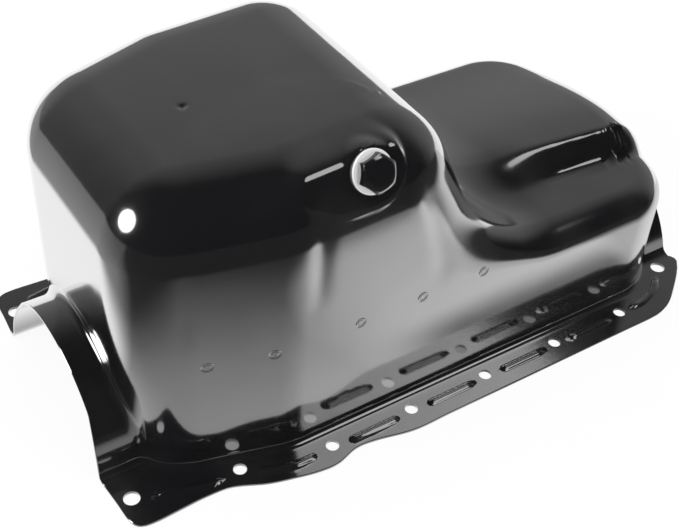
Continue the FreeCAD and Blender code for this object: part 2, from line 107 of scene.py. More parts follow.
@dataclass(frozen=True)
class FormSizes:
    """Sizes of the drawn form, the same as those of the solid pan."""

    gauge: float = 1.8
    root_radius: float = 5.0
    half_width: float = 97.0
    sump_end: float = 186.0
    taper_start: float = 95.0
    taper_angle: float = 15.0
    taper_bend_radius: float = 60.0
    sump_corner_radius: float = 43.0
    shallow_end: float = 200.0
    shallow_corner_radius: float = 44.0
    shallow_bow_radius: float = 320.0
    sump_height: float = 188.0
    sump_height_x: float = -54.5
    sump_floor_angle: float = 2.9
    shallow_height: float = 82.0
    slope_start: float = -6.0
    slope_angle: float = 68.0
    slope_top_radius: float = 44.0
    slope_foot_radius: float = 75.0
    sump_edge_radius: float = 40.0
    shallow_edge_radius: float = 18.0
    edge_change_start: float = -20.0
    edge_change_end: float = 60.0
    pad_rise: float = 17.0
    pad_edge_radius: float = 30.0
    pad_blend_run: float = 20.0
    pad_flat_half_width: float = 36.5
    pad_spread_x: float = 130.0
    pad_near_spread: float = 0.1
    pad_side_run: float = 15.0
    pad_ramp_start: float = 60.0
    pad_ramp_end: float = 125.0
    pad_ramp_run: float = 26.0
    pad_ramp_shift: float = 5.0
    pad_far_start: float = -25.0
    pad_far_run: float = 125.0
    dimple: tuple = (-117.1, -3.6)
    dimple_radius: float = 3.4
    dimple_depth: float = 1.2
    sump_arch_radius: float = 64.0
    shallow_arch_radius: float = 82.6
    shallow_arch_drop: float = 20.6
    arch_bend_radius: float = 7.0


class WallLine:
    """Near half of the wall's plan, walked from the middle of the sump's end wall to the middle of the far end.

    It is made of a line, the sump's corner arc, the tapered line, the bend's arc, the straight side, the shallow
    corner's arc and the bowed end's arc, each leaving the last one on its tangent.
    """

    SAMPLES = 200

    def __init__(self, sizes: FormSizes) -> None:
        """Work out the pieces of the line.

        Args:
            sizes: Sizes of the drawn form.
        """
        taper = math.radians(sizes.taper_angle)
        south = -math.pi / 2
        bend = (-sizes.taper_start, sizes.taper_bend_radius - sizes.half_width)
        normal = (math.cos(south - taper), math.sin(south - taper))
        corner_x = sizes.sump_corner_radius - sizes.sump_end
        reach = normal[0] * bend[0] + normal[1] * bend[1] + sizes.taper_bend_radius - sizes.sump_corner_radius
        corner = (corner_x, (reach - normal[0] * corner_x) / normal[1])
        side = sizes.shallow_corner_radius - sizes.half_width
        run = math.sqrt((sizes.shallow_bow_radius - sizes.shallow_corner_radius) ** 2 - side ** 2)
        bow_x = sizes.shallow_end - sizes.shallow_bow_radius
        end_corner = (bow_x + run, side)
        end_angle = math.atan2(side, run)
        self.arcs = [
            (corner, sizes.sump_corner_radius, -math.pi, south - taper),
            (bend, sizes.taper_bend_radius, south - taper, south),
            (end_corner, sizes.shallow_corner_radius, south, end_angle),
            ((bow_x, 0.0), sizes.shallow_bow_radius, end_angle, 0.0),
        ]
        ends = [self._arc_point(arc, share) for arc in self.arcs for share in (0.0, 1.0)]
        runs = [
            ("line", (-sizes.sump_end, 0.0), ends[0]),
            ("arc", 0, None),
            ("line", ends[1], ends[2]),
            ("arc", 1, None),
            ("line", ends[3], ends[4]),
            ("arc", 2, None),
            ("arc", 3, None),
        ]
        samples, normals = [], []
        share = np.linspace(0.0, 1.0, self.SAMPLES)
        for kind, first, last in runs:
            if kind == "line":
                start, end = np.array(first), np.array(last)
                points = start + share[:, None] * (end - start)
                along = (end - start) / np.linalg.norm(end - start)
                out = np.tile([along[1], -along[0]], (len(share), 1))
            else:
                centre, radius, angle_start, angle_end = self.arcs[first]
                angle = angle_start + share * (angle_end - angle_start)
                out = np.stack([np.cos(angle), np.sin(angle)], axis=1)
                points = np.array(centre) + radius * out
            samples.append(points)
            normals.append(out)
        self.joints = np.cumsum([0.0] + [path_lengths(points)[-1] for points in samples])
        self.points = np.vstack(samples)
        self.normals = np.vstack(normals)
        self.stations = path_lengths(self.points)

    @staticmethod
    def _arc_point(arc: tuple, share: float) -> tuple:
        """Point of an arc at a share of its sweep."""
        centre, radius, start, end = arc
        angle = start + share * (end - start)
        return centre[0] + radius * math.cos(angle), centre[1] + radius * math.sin(angle)

    def at(self, station: np.ndarray) -> tuple[np.ndarray, np.ndarray]:
        """Points and outward normals of the wall at given lengths along it."""
        x = np.interp(station, self.stations, self.points[:, 0])
        y = np.interp(station, self.stations, self.points[:, 1])
        out_x = np.interp(station, self.stations, self.normals[:, 0])
        out_y = np.interp(station, self.stations, self.normals[:, 1])
        scale = np.hypot(out_x, out_y)
        return np.stack([x, y], axis=-1), np.stack([out_x / scale, out_y / scale], axis=-1)

    def sump_station(self, y: np.ndarray) -> np.ndarray:
        """Length along the wall where its sump end reaches a depth y, which is negative."""
        half = self.stations < self.joints[3]
        return np.interp(-y, -self.points[half][:, 1], self.stations[half])

    def shallow_station(self, y: np.ndarray) -> np.ndarray:
        """Length along the wall where its shallow end reaches a depth y, which is negative."""
        half = self.stations > self.joints[5]
        return np.interp(y, self.points[half][:, 1], self.stations[half])


class Profile:
    """Side view of the form: sump floor, slope and shallow floor, joined by a convex and a hollow arc."""

    def __init__(self, sizes: FormSizes, floor: float) -> None:
        """Work out the arcs.

        Args:
            sizes: Sizes of the drawn form.
            floor: Height of the shallow floor.
        """
        self.sizes = sizes
        self.floor = floor
        self.slope = math.radians(sizes.slope_angle)
        self.rise = math.radians(sizes.sump_floor_angle)
        tangent = sizes.slope_top_radius * math.tan((self.slope + self.rise) / 2)
        touch_x = sizes.slope_start - tangent * math.cos(self.rise)
        self.top_x = touch_x + sizes.slope_top_radius * math.sin(self.rise)
        self.top_level = self.sump_level(touch_x) - sizes.slope_top_radius * math.cos(self.rise)
        run = (self.sump_level(sizes.slope_start) - floor) / math.tan(self.slope)
        self.foot_x = sizes.slope_start + run + sizes.slope_foot_radius * math.tan(self.slope / 2)

    def sump_level(self, x: np.ndarray) -> np.ndarray:
        """Level of the sump floor, which rises towards the slope."""
        return self.sizes.sump_height + (x - self.sizes.sump_height_x) * math.tan(self.rise)

    def height(self, x: np.ndarray, depth: np.ndarray) -> np.ndarray:
        """Height of the profile moved inwards by a depth, square to itself.

        Left of the convex arc it is the sump floor's line, which touches the arc. The convex arc loses the depth
        from its radius and the hollow arc gains it, and the slope between them is the line that touches both.
        """
        sizes = self.sizes
        top_radius = sizes.slope_top_radius - depth
        foot_radius = sizes.slope_foot_radius + depth
        foot_level = self.floor + sizes.slope_foot_radius
        sine, cosine = math.sin(self.slope), math.cos(self.slope)
        arc_start = -top_radius * math.sin(self.rise)
        arc_x = np.clip(x - self.top_x, arc_start, top_radius * sine)
        top = self.top_level + np.sqrt(np.maximum(top_radius ** 2 - arc_x ** 2, 0.0))
        top = top + np.minimum(x - self.top_x - arc_start, 0.0) * math.tan(self.rise)
        line = self.top_level + top_radius * cosine - (x - self.top_x - top_radius * sine) * math.tan(self.slope)
        hollow_x = np.clip(self.foot_x - x, 0.0, foot_radius * sine)
        foot = foot_level - np.sqrt(np.maximum(foot_radius ** 2 - hollow_x ** 2, 0.0))
        on_top = x < self.top_x + top_radius * sine
        on_foot = x > self.foot_x - foot_radius * sine
        return np.where(on_top, top, np.where(on_foot, foot, line))


@dataclass(frozen=True)
class RailSizes:
    """Bolt holes, rail edge and beads of the near rail."""

    pitch: float = 55.88
    line: float = 109.5
    start: float = -82.7
    hole_radius: float = 3.95
    corner_hole_radius: float = 4.75
    sump_corner_hole: tuple = (-198.1, -85.4)
    sump_side_hole: tuple = (-137.1, -97.7)
    shallow_corner_hole: tuple = (194.7, -89.3)
    margin: float = 14.1
    bead_line: float = 111.7
    bead_half_length: float = 14.2
    bead_height: float = 1.5
    bead_half_width: float = 2.8
    sump_arch_edge: float = 204.5
    shallow_arch_edge: float = 207.5
    sump_flare: tuple = (50.4, 66.0, 70.5)
    sump_flare_edge: float = 208.0
    shallow_flare: float = 40.0

    def holes(self) -> list:
        """Centres and radii of the near rail's holes, from the sump's ear to the shallow ear."""
        row = [(self.start + number * self.pitch, -self.line) for number in range(5)]
        small = [(centre, self.hole_radius) for centre in [self.sump_side_hole] + row]
        first, last = ((centre, self.corner_hole_radius)
                       for centre in (self.sump_corner_hole, self.shallow_corner_hole))
        return [first] + small + [last]

    def edge_path(self) -> np.ndarray:
        """Outline of the near rail from the sump arch's foot to the shallow arch's foot."""
        ear, side, first = self.sump_corner_hole, self.sump_side_hole, (self.start, -self.line)
        last = self.shallow_corner_hole
        rail = -(self.line + self.margin)

        def near(hole: tuple, steps: list) -> list:
            return [(hole[0] + x, hole[1] + y) for x, y in steps]

        sump = [(ear[0] - 9.3, -70.4)]
        sump += near(ear, [(-8.3, 1.5), (-7.3, -13.3), (-3.4, -18.9), (4.9, -20.5), (21.2, -19.9), (35.8, -19.4)])
        sump += near(side, [(-9.3, -8.5), (8.5, -16.3), (24.2, -20.8)])
        sump += near(first, [(-15.6, -12.1), (-3.3, -12.5), (11.4, -8.3), (24.6, -9.1)])
        sump += [(first[0] + 49.2, rail), (first[0] + 75.0, rail)]
        shallow = [(last[0] - 60.0, rail), (last[0] - 37.7, rail)]
        shallow += near(last, [(-26.8, -32.8), (-14.2, -27.5), (6.3, -12.4), (15.0, -4.1), (17.9, 0.3),
                               (16.4, 4.8), (15.6, 6.1)])
        return np.vstack([smooth_path(sump), smooth_path(shallow)])

    def bead_lines(self) -> list:
        """Centre lines of the near rail's beads, each a list of points."""
        lines = []
        for number in range(4):
            middle = self.start + (number + 0.5) * self.pitch
            lines.append([(middle - self.bead_half_length, -self.bead_line),
                          (middle + self.bead_half_length, -self.bead_line)])
        ear, side, first, last = (self.sump_corner_hole, self.sump_side_hole, (self.start, -self.line),
                                  self.shallow_corner_hole)
        lines.append([(ear[0] + 13.0, ear[1] - 6.8), (ear[0] + 27.0, ear[1] - 9.4), (side[0] - 15.0, side[1] - 1.6)])
        lines.append([(side[0] + 11.0, side[1] - 7.6), (side[0] + 28.5, side[1] - 13.4),
                      (first[0] - 14.9, first[1] - 1.9)])
        lines.append([(last[0] - 42.0, last[1] - 21.2), (last[0] - 34.0, last[1] - 21.0),
                      (last[0] - 23.5, last[1] - 17.7), (last[0] - 15.3, last[1] - 13.6),
                      (last[0] - 12.6, last[1] - 10.6)])
        return lines


@dataclass(frozen=True)
class DrainSizes:
    """Place and sizes of the drain boss, washer, nut and plug."""

    x: float = -54.5
    rise: float = 12.3
    tilt: float = 24.0
    sink: float = 0.2
    boss_flat_radius: float = 19.0
    boss_foot_radius: float = 35.0
    boss_fall: float = 30.0
    boss_run: float = 10.0
    boss_round: float = 17.0
    boss_blend: float = 3.0
    boss_under: float = 16.0
    boss_fade_run: float = 8.0
    boss_left_share: float = 0.65
    boss_ceiling_gap: float = 0.6
    boss_margin: float = 8.0
    boss_low_level: float = 60.0
    spot_radius: float = 12.6
    spot_run: float = 5.0
    collar_radius: float = 8.45
    thread_radius: float = 6.35
    thread_pitch: float = 1.27
    thread_depth: float = 0.75
    washer_radius: float = 12.0
    washer_thickness: float = 1.5
    washer_bore: float = 6.6
    across_flats: float = 19.05
    head_height: float = 8.0
    crown_radius: float = 7.8
    shank_length: float = 14.0
    tip_length: float = 1.5
    turn: float = 17.0

    def axes(self) -> tuple[np.ndarray, np.ndarray]:
        """Direction out of the boss and the direction up its flat."""
        tilt = math.radians(self.tilt)
        return (np.array([0.0, -math.cos(tilt), math.sin(tilt)]), np.array([0.0, math.sin(tilt), math.cos(tilt)]))

    def seat(self, sizes: FormSizes) -> tuple[float, float]:
        """Level of the flat along the axis, and level up the flat where it leaves the rounded edge."""
        out, up = self.axes()
        centre = np.array([0.0, sizes.sump_edge_radius - sizes.half_width,
                           sizes.sump_height - sizes.sump_edge_radius])
        return float(out @ centre) + sizes.sump_edge_radius - self.sink, float(up @ centre)

    def point(self, sizes: FormSizes) -> np.ndarray:
        """Middle of the washer's seat on the boss."""
        out, up = self.axes()
        level, rise = self.seat(sizes)
        return np.array([self.x, 0.0, 0.0]) + out * level + up * (rise + self.rise)

    def placed(self, grid: np.ndarray, sizes: FormSizes, offset: float) -> np.ndarray:
        """Grid moved from the boss's own axes into the pan's, at an offset outwards from the seat."""
        out, up = self.axes()
        point = self.point(sizes) + out * offset
        return point + grid[..., :1] * np.array([1.0, 0.0, 0.0]) + grid[..., 1:2] * up + grid[..., 2:] * out


@dataclass(frozen=True)
class Flute:
    """Faint crease that the drawing leaves in the near wall, along a line in its side view.

    The line is given by two points of x and z. The crease fades in above the low level and out below the high one.
    """

    start: tuple
    end: tuple
    spread: float
    depth: float
    low: float
    high: float
    fade: float

    def inwards(self, x: np.ndarray, z: np.ndarray) -> np.ndarray:
        """Depth of the crease at places on the wall: depth exp(-(distance / spread)²), faded at both ends."""
        distance = segment_distance(x, z, self.start, self.end)
        ends = smooth((z - self.low) / self.fade) * smooth((self.high - z) / self.fade)
        return self.depth * np.exp(-(distance / self.spread) ** 2) * ends


class ShellSurface:
    """Outer skin of the pan as one grid: columns around the wall, rows from the rail's edge to the floor's middle."""

    ARCH_COLUMNS = 34
    BEND_COLUMNS = 6
    SPAN_COLUMNS = (19, 24, 11, 66, 78, 20)
    DENSE_RUN = 80.0
    STRIP_COLUMNS = 14
    BEAD_SHARES = tuple(0.38 + 0.019 * step for step in range(19))
    RAIL_SHARES = (0.0, 0.12, 0.24, 0.33) + BEAD_SHARES + (0.79, 0.86, 0.93, 1.0)
    RAIL_ROWS = len(RAIL_SHARES)
    ROOT_ROWS = 10
    WALL_ROWS = 12
    LEAST_WALL = 2.0
    EDGE_ROWS = 37
    FLOOR_ROWS = 13
    FLOOR_SPREAD = ((0.0, 0.25, 0.88, 1.0), (0.0, 0.34, 0.56, 0.6))
    SPINE_LEFT = (0.7, 0.45, 0.28, 0.18, 0.125, 0.095, 0.07, 0.045, 0.02, 0.0)
    SPINE_END = 160.0
    SPINE_RUN = 30.0
    EAR_TIP = (-204.0, -101.5)
    END_TIP = (212.0, -89.0)
    RAIL_LINE = -100.0
    RAIL_PLACES = (-186.0, -140.0, -95.0, 150.0, 186.0)
    FLUTE_SIDE = -60.0
    FLUTES = (
        Flute((-87.0, -400.0), (-87.0, 400.0), 5.5, 1.0, 98.0, 172.0, 22.0),
        Flute((-21.0, 156.0), (-2.0, 84.0), 6.5, 0.7, 80.0, 400.0, 20.0),
        Flute((-158.0, -400.0), (-158.0, 400.0), 4.0, 0.45, 92.0, 158.0, 16.0),
    )

    def __init__(self, sizes: FormSizes, rails: RailSizes, drain: DrainSizes) -> None:
        """Keep the sizes and work out the wall's plan and the two side views.

        Args:
            sizes: Sizes of the drawn form.
            rails: Sizes of the rails.
            drain: Sizes of the drain boss.
        """
        self.sizes = sizes
        self.rails = rails
        self.drain = drain
        self.wall = WallLine(sizes)
        self.low = Profile(sizes, sizes.shallow_height)
        self.high = Profile(sizes, sizes.shallow_height + sizes.pad_rise)

    def edge_radius(self, x: np.ndarray) -> np.ndarray:
        """Radius of the rounded top edge: that of the sump, eased into that of the shallow part along the slope."""
        sizes = self.sizes
        share = smooth((x - sizes.edge_change_start) / (sizes.edge_change_end - sizes.edge_change_start))
        return sizes.sump_edge_radius + share * (sizes.shallow_edge_radius - sizes.sump_edge_radius)

    @staticmethod
    def edge_drop(inset: np.ndarray, radius: float) -> np.ndarray:
        """Depth of the rounded edge under the flat at an inset from the wall: r - sqrt(r² - (r - inset)²)."""
        left = np.clip(radius - inset, 0.0, radius)
        return radius - np.sqrt(np.maximum(radius ** 2 - left ** 2, 0.0))

    def height(self, x: np.ndarray, y: np.ndarray, drop: np.ndarray) -> np.ndarray:
        """Height of the skin over the plan, with the drop of the rounded edge there.

        The raised pad is the same form with a higher shallow floor. It is blended in between its near side, which
        spreads towards the end wall and flattens towards the slope, and its far side, which falls off softly.
        """
        sizes = self.sizes
        base = self.low.height(x, drop)
        bow_x = sizes.shallow_end - sizes.shallow_bow_radius
        end_inset = sizes.shallow_bow_radius - np.hypot(x - bow_x, y)
        raised = self.high.height(x, self.edge_drop(end_inset, sizes.pad_edge_radius))
        ramp = 1.0 - smooth((x - sizes.pad_ramp_start) / (sizes.pad_ramp_end - sizes.pad_ramp_start))
        spread = sizes.pad_near_spread * (x - sizes.pad_spread_x)
        near_edge = sizes.pad_flat_half_width + spread - sizes.pad_ramp_shift * ramp
        near = 1.0 - smooth((-y - near_edge) / (sizes.pad_side_run + sizes.pad_ramp_run * ramp))
        far = 1.0 - smooth((y - sizes.pad_far_start) / sizes.pad_far_run)
        share = near * far * smooth((x - sizes.slope_start) / sizes.pad_blend_run)
        return base + share * np.maximum(raised - base, 0.0)

    def base_path(self) -> dict:
        """Foot of the wall, column by column, for the near half.

        In the arches it follows the arch's circle up from the rail, with a hollow bend at its foot. Elsewhere it
        lies on the rail. Returns the wall station, level, rise direction along the wall and the outer edge's point
        for each column, and the station that the column reaches at the top of the wall.
        """
        sizes, rails = self.sizes, self.rails
        bend = sizes.arch_bend_radius
        columns = []
        arches = [(sizes.sump_arch_radius, 0.0), (sizes.shallow_arch_radius, sizes.shallow_arch_drop)]
        for radius, drop in arches:
            level = sizes.gauge + bend
            reach = math.sqrt((radius + bend) ** 2 - (level + drop) ** 2)
            foot_angle = math.atan2(level + drop, reach)
            angle = np.linspace(math.pi / 2, foot_angle, self.ARCH_COLUMNS)
            y = -radius * np.cos(angle)
            z = radius * np.sin(angle) - drop
            rise = np.stack([-np.cos(angle), np.sin(angle)], axis=1)
            turn = np.linspace(foot_angle, math.pi / 2, self.BEND_COLUMNS + 1)[1:]
            bend_y = -reach + bend * np.cos(turn)
            bend_z = level - bend * np.sin(turn)
            bend_rise = np.stack([-np.cos(turn), np.sin(turn)], axis=1)
            columns.append((np.concatenate([y, bend_y]), np.concatenate([z, bend_z]),
                            np.vstack([rise, bend_rise])))

        path = rails.edge_path()
        path_length = path_lengths(path)
        (sump_y, sump_z, sump_rise), (end_y, end_z, end_rise) = columns
        sump_station = self.wall.sump_station(sump_y)
        end_station = self.wall.shallow_station(end_y)
        joints = self.wall.joints
        stops = [sump_station[-1], joints[2], joints[3], joints[4], joints[4] + self.DENSE_RUN, joints[5],
                 end_station[-1]]
        spans = [np.linspace(start, end, count)[1:]
                 for start, end, count in zip(stops, stops[1:], self.SPAN_COLUMNS)]
        between = np.concatenate(spans)[:-1]
        anchors = self._edge_anchors(path, path_length, sump_station[-1], end_station[-1])
        along = np.interp(between, anchors[0], anchors[1])
        edge = np.stack([np.interp(along, path_length, path[:, k]) for k in range(2)], axis=1)
        flare = np.interp(-sump_y, [0.0, *rails.sump_flare],
                          [rails.sump_arch_edge, rails.sump_arch_edge, rails.sump_flare_edge, -path[0, 0]])
        seat_edge = np.interp(-end_y, [0.0, rails.shallow_flare, -path[-1, 1]],
                              [rails.shallow_arch_edge, rails.shallow_arch_edge, path[-1, 0]])
        sump_edge = np.stack([-flare, sump_y, sump_z], axis=1)
        end_edge = np.stack([seat_edge, end_y, end_z], axis=1)
        flat_edge = np.column_stack([edge, np.full(len(edge), sizes.gauge)])

        station = np.concatenate([sump_station, between, end_station[::-1]])
        sump_count, end_count = len(sump_station), len(end_station)
        top = station.copy()
        top[:sump_count] = np.linspace(0.0, 1.0, sump_count) * sump_station[-1]
        top[-end_count:] = self.wall.stations[-1] - np.linspace(1.0, 0.0, end_count) * (
            self.wall.stations[-1] - end_station[-1])
        turned = np.array([-1.0, 1.0])
        return {
            "station": station,
            "level": np.concatenate([sump_z, np.full(len(between), sizes.gauge), end_z[::-1]]),
            "rise": np.vstack([sump_rise * turned, np.tile([0.0, 1.0], (len(between), 1)),
                               end_rise[::-1] * turned]),
            "edge": np.vstack([sump_edge, flat_edge, end_edge[::-1]]),
            "top": top,
            "sump_count": sump_count,
            "end_count": end_count,
        }

    def _edge_anchors(self, path: np.ndarray, length: np.ndarray, start: float, end: float) -> tuple:
        """Wall stations and rail edge lengths that belong together, so that the rail's columns fan out evenly."""
        joints = self.wall.joints
        rail = path[:, 1] < self.RAIL_LINE
        ear, last = (int(np.argmin(np.hypot(path[:, 0] - tip[0], path[:, 1] - tip[1])))
                     for tip in (self.EAR_TIP, self.END_TIP))
        stations = [start, (start + joints[2]) / 2, joints[2], (joints[2] + joints[3]) / 2, joints[4],
                    joints[5], (joints[5] + end) / 2, end - 0.25 * (end - joints[5]), end]
        lengths = [0.0, length[ear], *np.interp(self.RAIL_PLACES, path[rail][:, 0], length[rail]),
                   length[last], length[-1]]
        return np.array(stations), np.array(lengths)

    def on_skin(self, station: np.ndarray, climb: np.ndarray, side: Side) -> np.ndarray:
        """Point of the near wall or its rounded top edge at a station and a climb from the gasket face.

        Up to the ball centre's height the climb is the height on the wall. From there it is the arc's length.
        For the far side the heights are those of the far wall, so that mirroring the point gives the far skin.
        """
        point, normal = self.wall.at(station)
        radius = self.edge_radius(point[..., 0])
        contact = self.low.height(point[..., 0], radius)
        angle = np.clip((climb - contact) / radius, 0.0, math.pi / 2)
        inset = radius * (1.0 - np.cos(angle))
        plan = point - inset[..., None] * normal
        drop = radius * (1.0 - np.sin(angle))
        across = plan[..., 1] * -side.value
        z = np.where(climb <= contact, climb, self.height(plan[..., 0], across, drop))
        return np.concatenate([plan, z[..., None]], axis=-1)

    def half(self, side: Side) -> np.ndarray:
        """Grid of one half of the skin, columns first, rows from the rail's edge to the spine of the floor.

        Args:
            side: Which half. The far half is made like the near one, with the far side's heights, then mirrored.

        Returns:
            Points in millimetres, shaped columns by rows by three.
        """
        sizes = self.sizes
        base = self.base_path()
        station, level, rise, edge = base["station"], base["level"], base["rise"], base["edge"]
        root = sizes.root_radius
        point, normal = self.wall.at(station)
        strip_out = normal.copy()
        sump, end = base["sump_count"], base["end_count"]
        ease = smooth(np.linspace(0.0, 1.0, self.STRIP_COLUMNS))[:, None]
        after, before = slice(sump, sump + self.STRIP_COLUMNS), slice(-end - self.STRIP_COLUMNS, -end)
        strip_out[:sump] = (-1.0, 0.0)
        strip_out[-end:] = (1.0, 0.0)
        strip_out[after] = (1 - ease) * strip_out[:1] + ease * normal[after]
        strip_out[before] = ease * strip_out[-1:] + (1 - ease) * normal[before]
        strip_out /= np.linalg.norm(strip_out, axis=1)[:, None]
        corner = np.column_stack([point, level])
        foot = corner + root * np.column_stack([strip_out, np.zeros(len(point))])
        first_station = station + root * rise[:, 0]
        first_climb = level + root * rise[:, 1]
        first = self.on_skin(first_station, first_climb, side)

        share = np.array(self.RAIL_SHARES)[None, :, None]
        rail = edge[:, None, :] * (1 - share) + foot[:, None, :] * share
        share = np.linspace(0.0, 1.0, self.ROOT_ROWS + 1)[None, 1:, None]
        weight = math.sqrt(0.5)
        blend = (1 - share) ** 2 + 2 * weight * share * (1 - share) + share ** 2
        root_arc = ((1 - share) ** 2 * foot[:, None, :] + 2 * weight * share * (1 - share) * corner[:, None, :]
                    + share ** 2 * first[:, None, :]) / blend

        top_station = base["top"]
        top_point, _ = self.wall.at(top_station)
        radius = self.edge_radius(top_point[:, 0])
        contact = np.maximum(self.low.height(top_point[:, 0], radius), first_climb + self.LEAST_WALL)
        end_climb = self.low.height(top_point[:, 0], radius) + radius * math.pi / 2
        wall_share = np.linspace(0.0, 1.0, self.WALL_ROWS + 1)[None, 1:]
        slide = smooth(wall_share)
        wall_station = first_station[:, None] * (1 - slide) + top_station[:, None] * slide
        wall_climb = first_climb[:, None] * (1 - wall_share) + contact[:, None] * wall_share
        wall = self.on_skin(wall_station, wall_climb, side)
        edge_share = np.linspace(0.0, 1.0, self.EDGE_ROWS + 1)[None, 1:]
        edge_climb = contact[:, None] * (1 - edge_share) + end_climb[:, None] * edge_share
        rounded = self.on_skin(np.repeat(top_station[:, None], self.EDGE_ROWS, axis=1), edge_climb, side)

        plan_start = rounded[:, -1, :2]
        spine_x = np.clip(plan_start[:, 0], sizes.dimple[0], self.SPINE_END)
        spine_y = sizes.dimple[1] * (1.0 - smooth((spine_x - sizes.dimple[0]) / self.SPINE_RUN))
        spine = np.column_stack([spine_x, spine_y * (-side.value)])
        close = np.interp(np.linspace(0.0, 1.0, self.FLOOR_ROWS + 1)[1:], *self.FLOOR_SPREAD)
        rest = 1.0 - (1.0 - self.FLOOR_SPREAD[1][-1]) * np.array(self.SPINE_LEFT)
        floor_share = np.concatenate([close, rest])[None, :, None]
        plan = plan_start[:, None, :] * (1 - floor_share) + spine[:, None, :] * floor_share
        z = self.height(plan[..., 0], plan[..., 1] * -side.value, np.zeros(plan.shape[:2]))
        floor = np.concatenate([plan, z[..., None]], axis=-1)
        grid = np.concatenate([rail, root_arc, wall, rounded, floor], axis=1)
        if side is Side.FAR:
            grid = grid * np.array([1.0, -1.0, 1.0])
        return grid

    def raise_beads(self, grid: np.ndarray) -> None:
        """Lift the beads out of both rails: height h (1 - (d / w)²)^1.5 at a distance d from a bead's line."""
        rails = self.rails
        rows = slice(0, self.RAIL_ROWS)
        x, y = grid[:, rows, 0], -np.abs(grid[:, rows, 1])
        distance = np.full(x.shape, 1e3)
        for line in rails.bead_lines():
            for start, end in zip(line, line[1:]):
                distance = np.minimum(distance, segment_distance(x, y, start, end))
        level = np.abs(grid[:, rows, 2] - self.sizes.gauge) < 0.1
        share = np.clip(1.0 - (distance / rails.bead_half_width) ** 2, 0.0, 1.0)
        grid[:, rows, 2] += np.where(level, rails.bead_height * share ** 1.5, 0.0)

    def press_boss(self, grid: np.ndarray) -> None:
        """Push the drain boss out along the plug's axis.

        Over the flat the skin's level along the axis becomes the seat's. Beyond the flat the target falls off by a
        smooth step, more slowly towards the sump's end, and it never rises over the sump floor. The skin takes the
        softly larger of both levels.
        """
        drain, sizes = self.drain, self.sizes
        out, up = drain.axes()
        seat, rise = drain.seat(sizes)
        level = grid @ out
        lift = grid @ up
        centre_up = rise + drain.rise
        x = grid[..., 0]
        beside = drain.boss_left_share * np.clip(drain.x - drain.boss_run - x, 0.0, None)
        beside = beside + np.clip(x - drain.x, 0.0, None)
        distance = np.hypot(beside, lift - centre_up)
        fall = smooth((distance - drain.boss_flat_radius) / (drain.boss_foot_radius - drain.boss_flat_radius))
        tilt = math.radians(drain.tilt)
        ceiling = (self.low.sump_level(x) - drain.boss_ceiling_gap - lift * math.cos(tilt)) / math.sin(tilt)
        face = seat - drain.boss_fall * fall
        target = -soft_max(-face, -ceiling, drain.boss_round)
        near = ((lift > rise - drain.boss_under) & (level > drain.boss_low_level)
                & (distance < drain.boss_foot_radius + drain.boss_margin))
        raised = soft_max(level, target, drain.boss_blend)
        fade = smooth((lift - rise + drain.boss_under) / drain.boss_fade_run)
        push = np.where(near, (raised - level) * fade, 0.0)
        spot = 1.0 - smooth((np.hypot(x - drain.x, lift - centre_up) - drain.spot_radius) / drain.spot_run)
        push = np.where(near, push * (1.0 - spot) + (seat - level) * spot, 0.0)
        grid += push[..., None] * out

    def press_details(self, grid: np.ndarray) -> None:
        """Press the locating dimple into the sump floor and the draw flutes into the near wall."""
        sizes = self.sizes
        x, y, z = grid[..., 0], grid[..., 1], grid[..., 2]
        distance = np.hypot(x - sizes.dimple[0], y - sizes.dimple[1])
        dimple = sizes.dimple_depth * (1.0 - smooth(distance / sizes.dimple_radius))
        grid[..., 2] -= np.where(z > sizes.sump_height / 2, dimple, 0.0)
        on_near = y < self.FLUTE_SIDE
        grid[..., 1] += np.where(on_near, sum(flute.inwards(x, z) for flute in self.FLUTES), 0.0)

    def outer(self) -> np.ndarray:
        """Whole outer skin, closed around: the near half and back along the far half."""
        near, far = self.half(Side.NEAR), self.half(Side.FAR)
        grid = np.concatenate([near, far[-2:0:-1]], axis=0)
        self.raise_beads(grid)
        self.press_boss(grid)
        self.press_details(grid)
        return grid


def grid_normals(grid: np.ndarray) -> np.ndarray:
    """Unit normals of a grid that is closed around its columns: cross product of the two central differences."""
    around = np.roll(grid, -1, axis=0) - np.roll(grid, 1, axis=0)
    inwards = np.gradient(grid, axis=1)
    normals = np.cross(around, inwards)
    length = np.linalg.norm(normals, axis=-1, keepdims=True)
    normals = np.where(length > 1e-9, normals / np.maximum(length, 1e-9), 0.0)
    normals[:, -1] = (0.0, 0.0, 1.0)
    return normals


def grid_quads(columns: int, rows: int) -> np.ndarray:
    """Quads of a grid that is closed around its columns.

    Args:
        columns: Number of columns.
        rows: Number of rows.

    Returns:
        Vertex indices, four to a face.
    """
    first = np.arange(columns)[:, None] * rows + np.arange(rows - 1)[None, :]
    second = np.roll(np.arange(columns), -1)[:, None] * rows + np.arange(rows - 1)[None, :]
    return np.stack([first, second, second + 1, first + 1], axis=-1).reshape(-1, 4)


def make_mesh(name: str, points: np.ndarray, faces: np.ndarray) -> bpy.types.Object:
    """Object from points in millimetres and faces of equal size.

    Args:
        name: Name of the object and its mesh.
        points: One row for each vertex.
        faces: One row of vertex indices for each face.

    Returns:
        The new object, linked into the scene.
    """
    mesh = bpy.data.meshes.new(name)
    corners = faces.shape[1]
    mesh.vertices.add(len(points))
    mesh.vertices.foreach_set("co", (points * MM).astype(np.float32).ravel())
    mesh.loops.add(faces.size)
    mesh.loops.foreach_set("vertex_index", faces.astype(np.int32).ravel())
    mesh.polygons.add(len(faces))
    mesh.polygons.foreach_set("loop_start", np.arange(len(faces), dtype=np.int32) * corners)
    mesh.update(calc_edges=True)
    mesh.validate()
    piece = bpy.data.objects.new(name, mesh)
    bpy.context.scene.collection.objects.link(piece)
    return piece


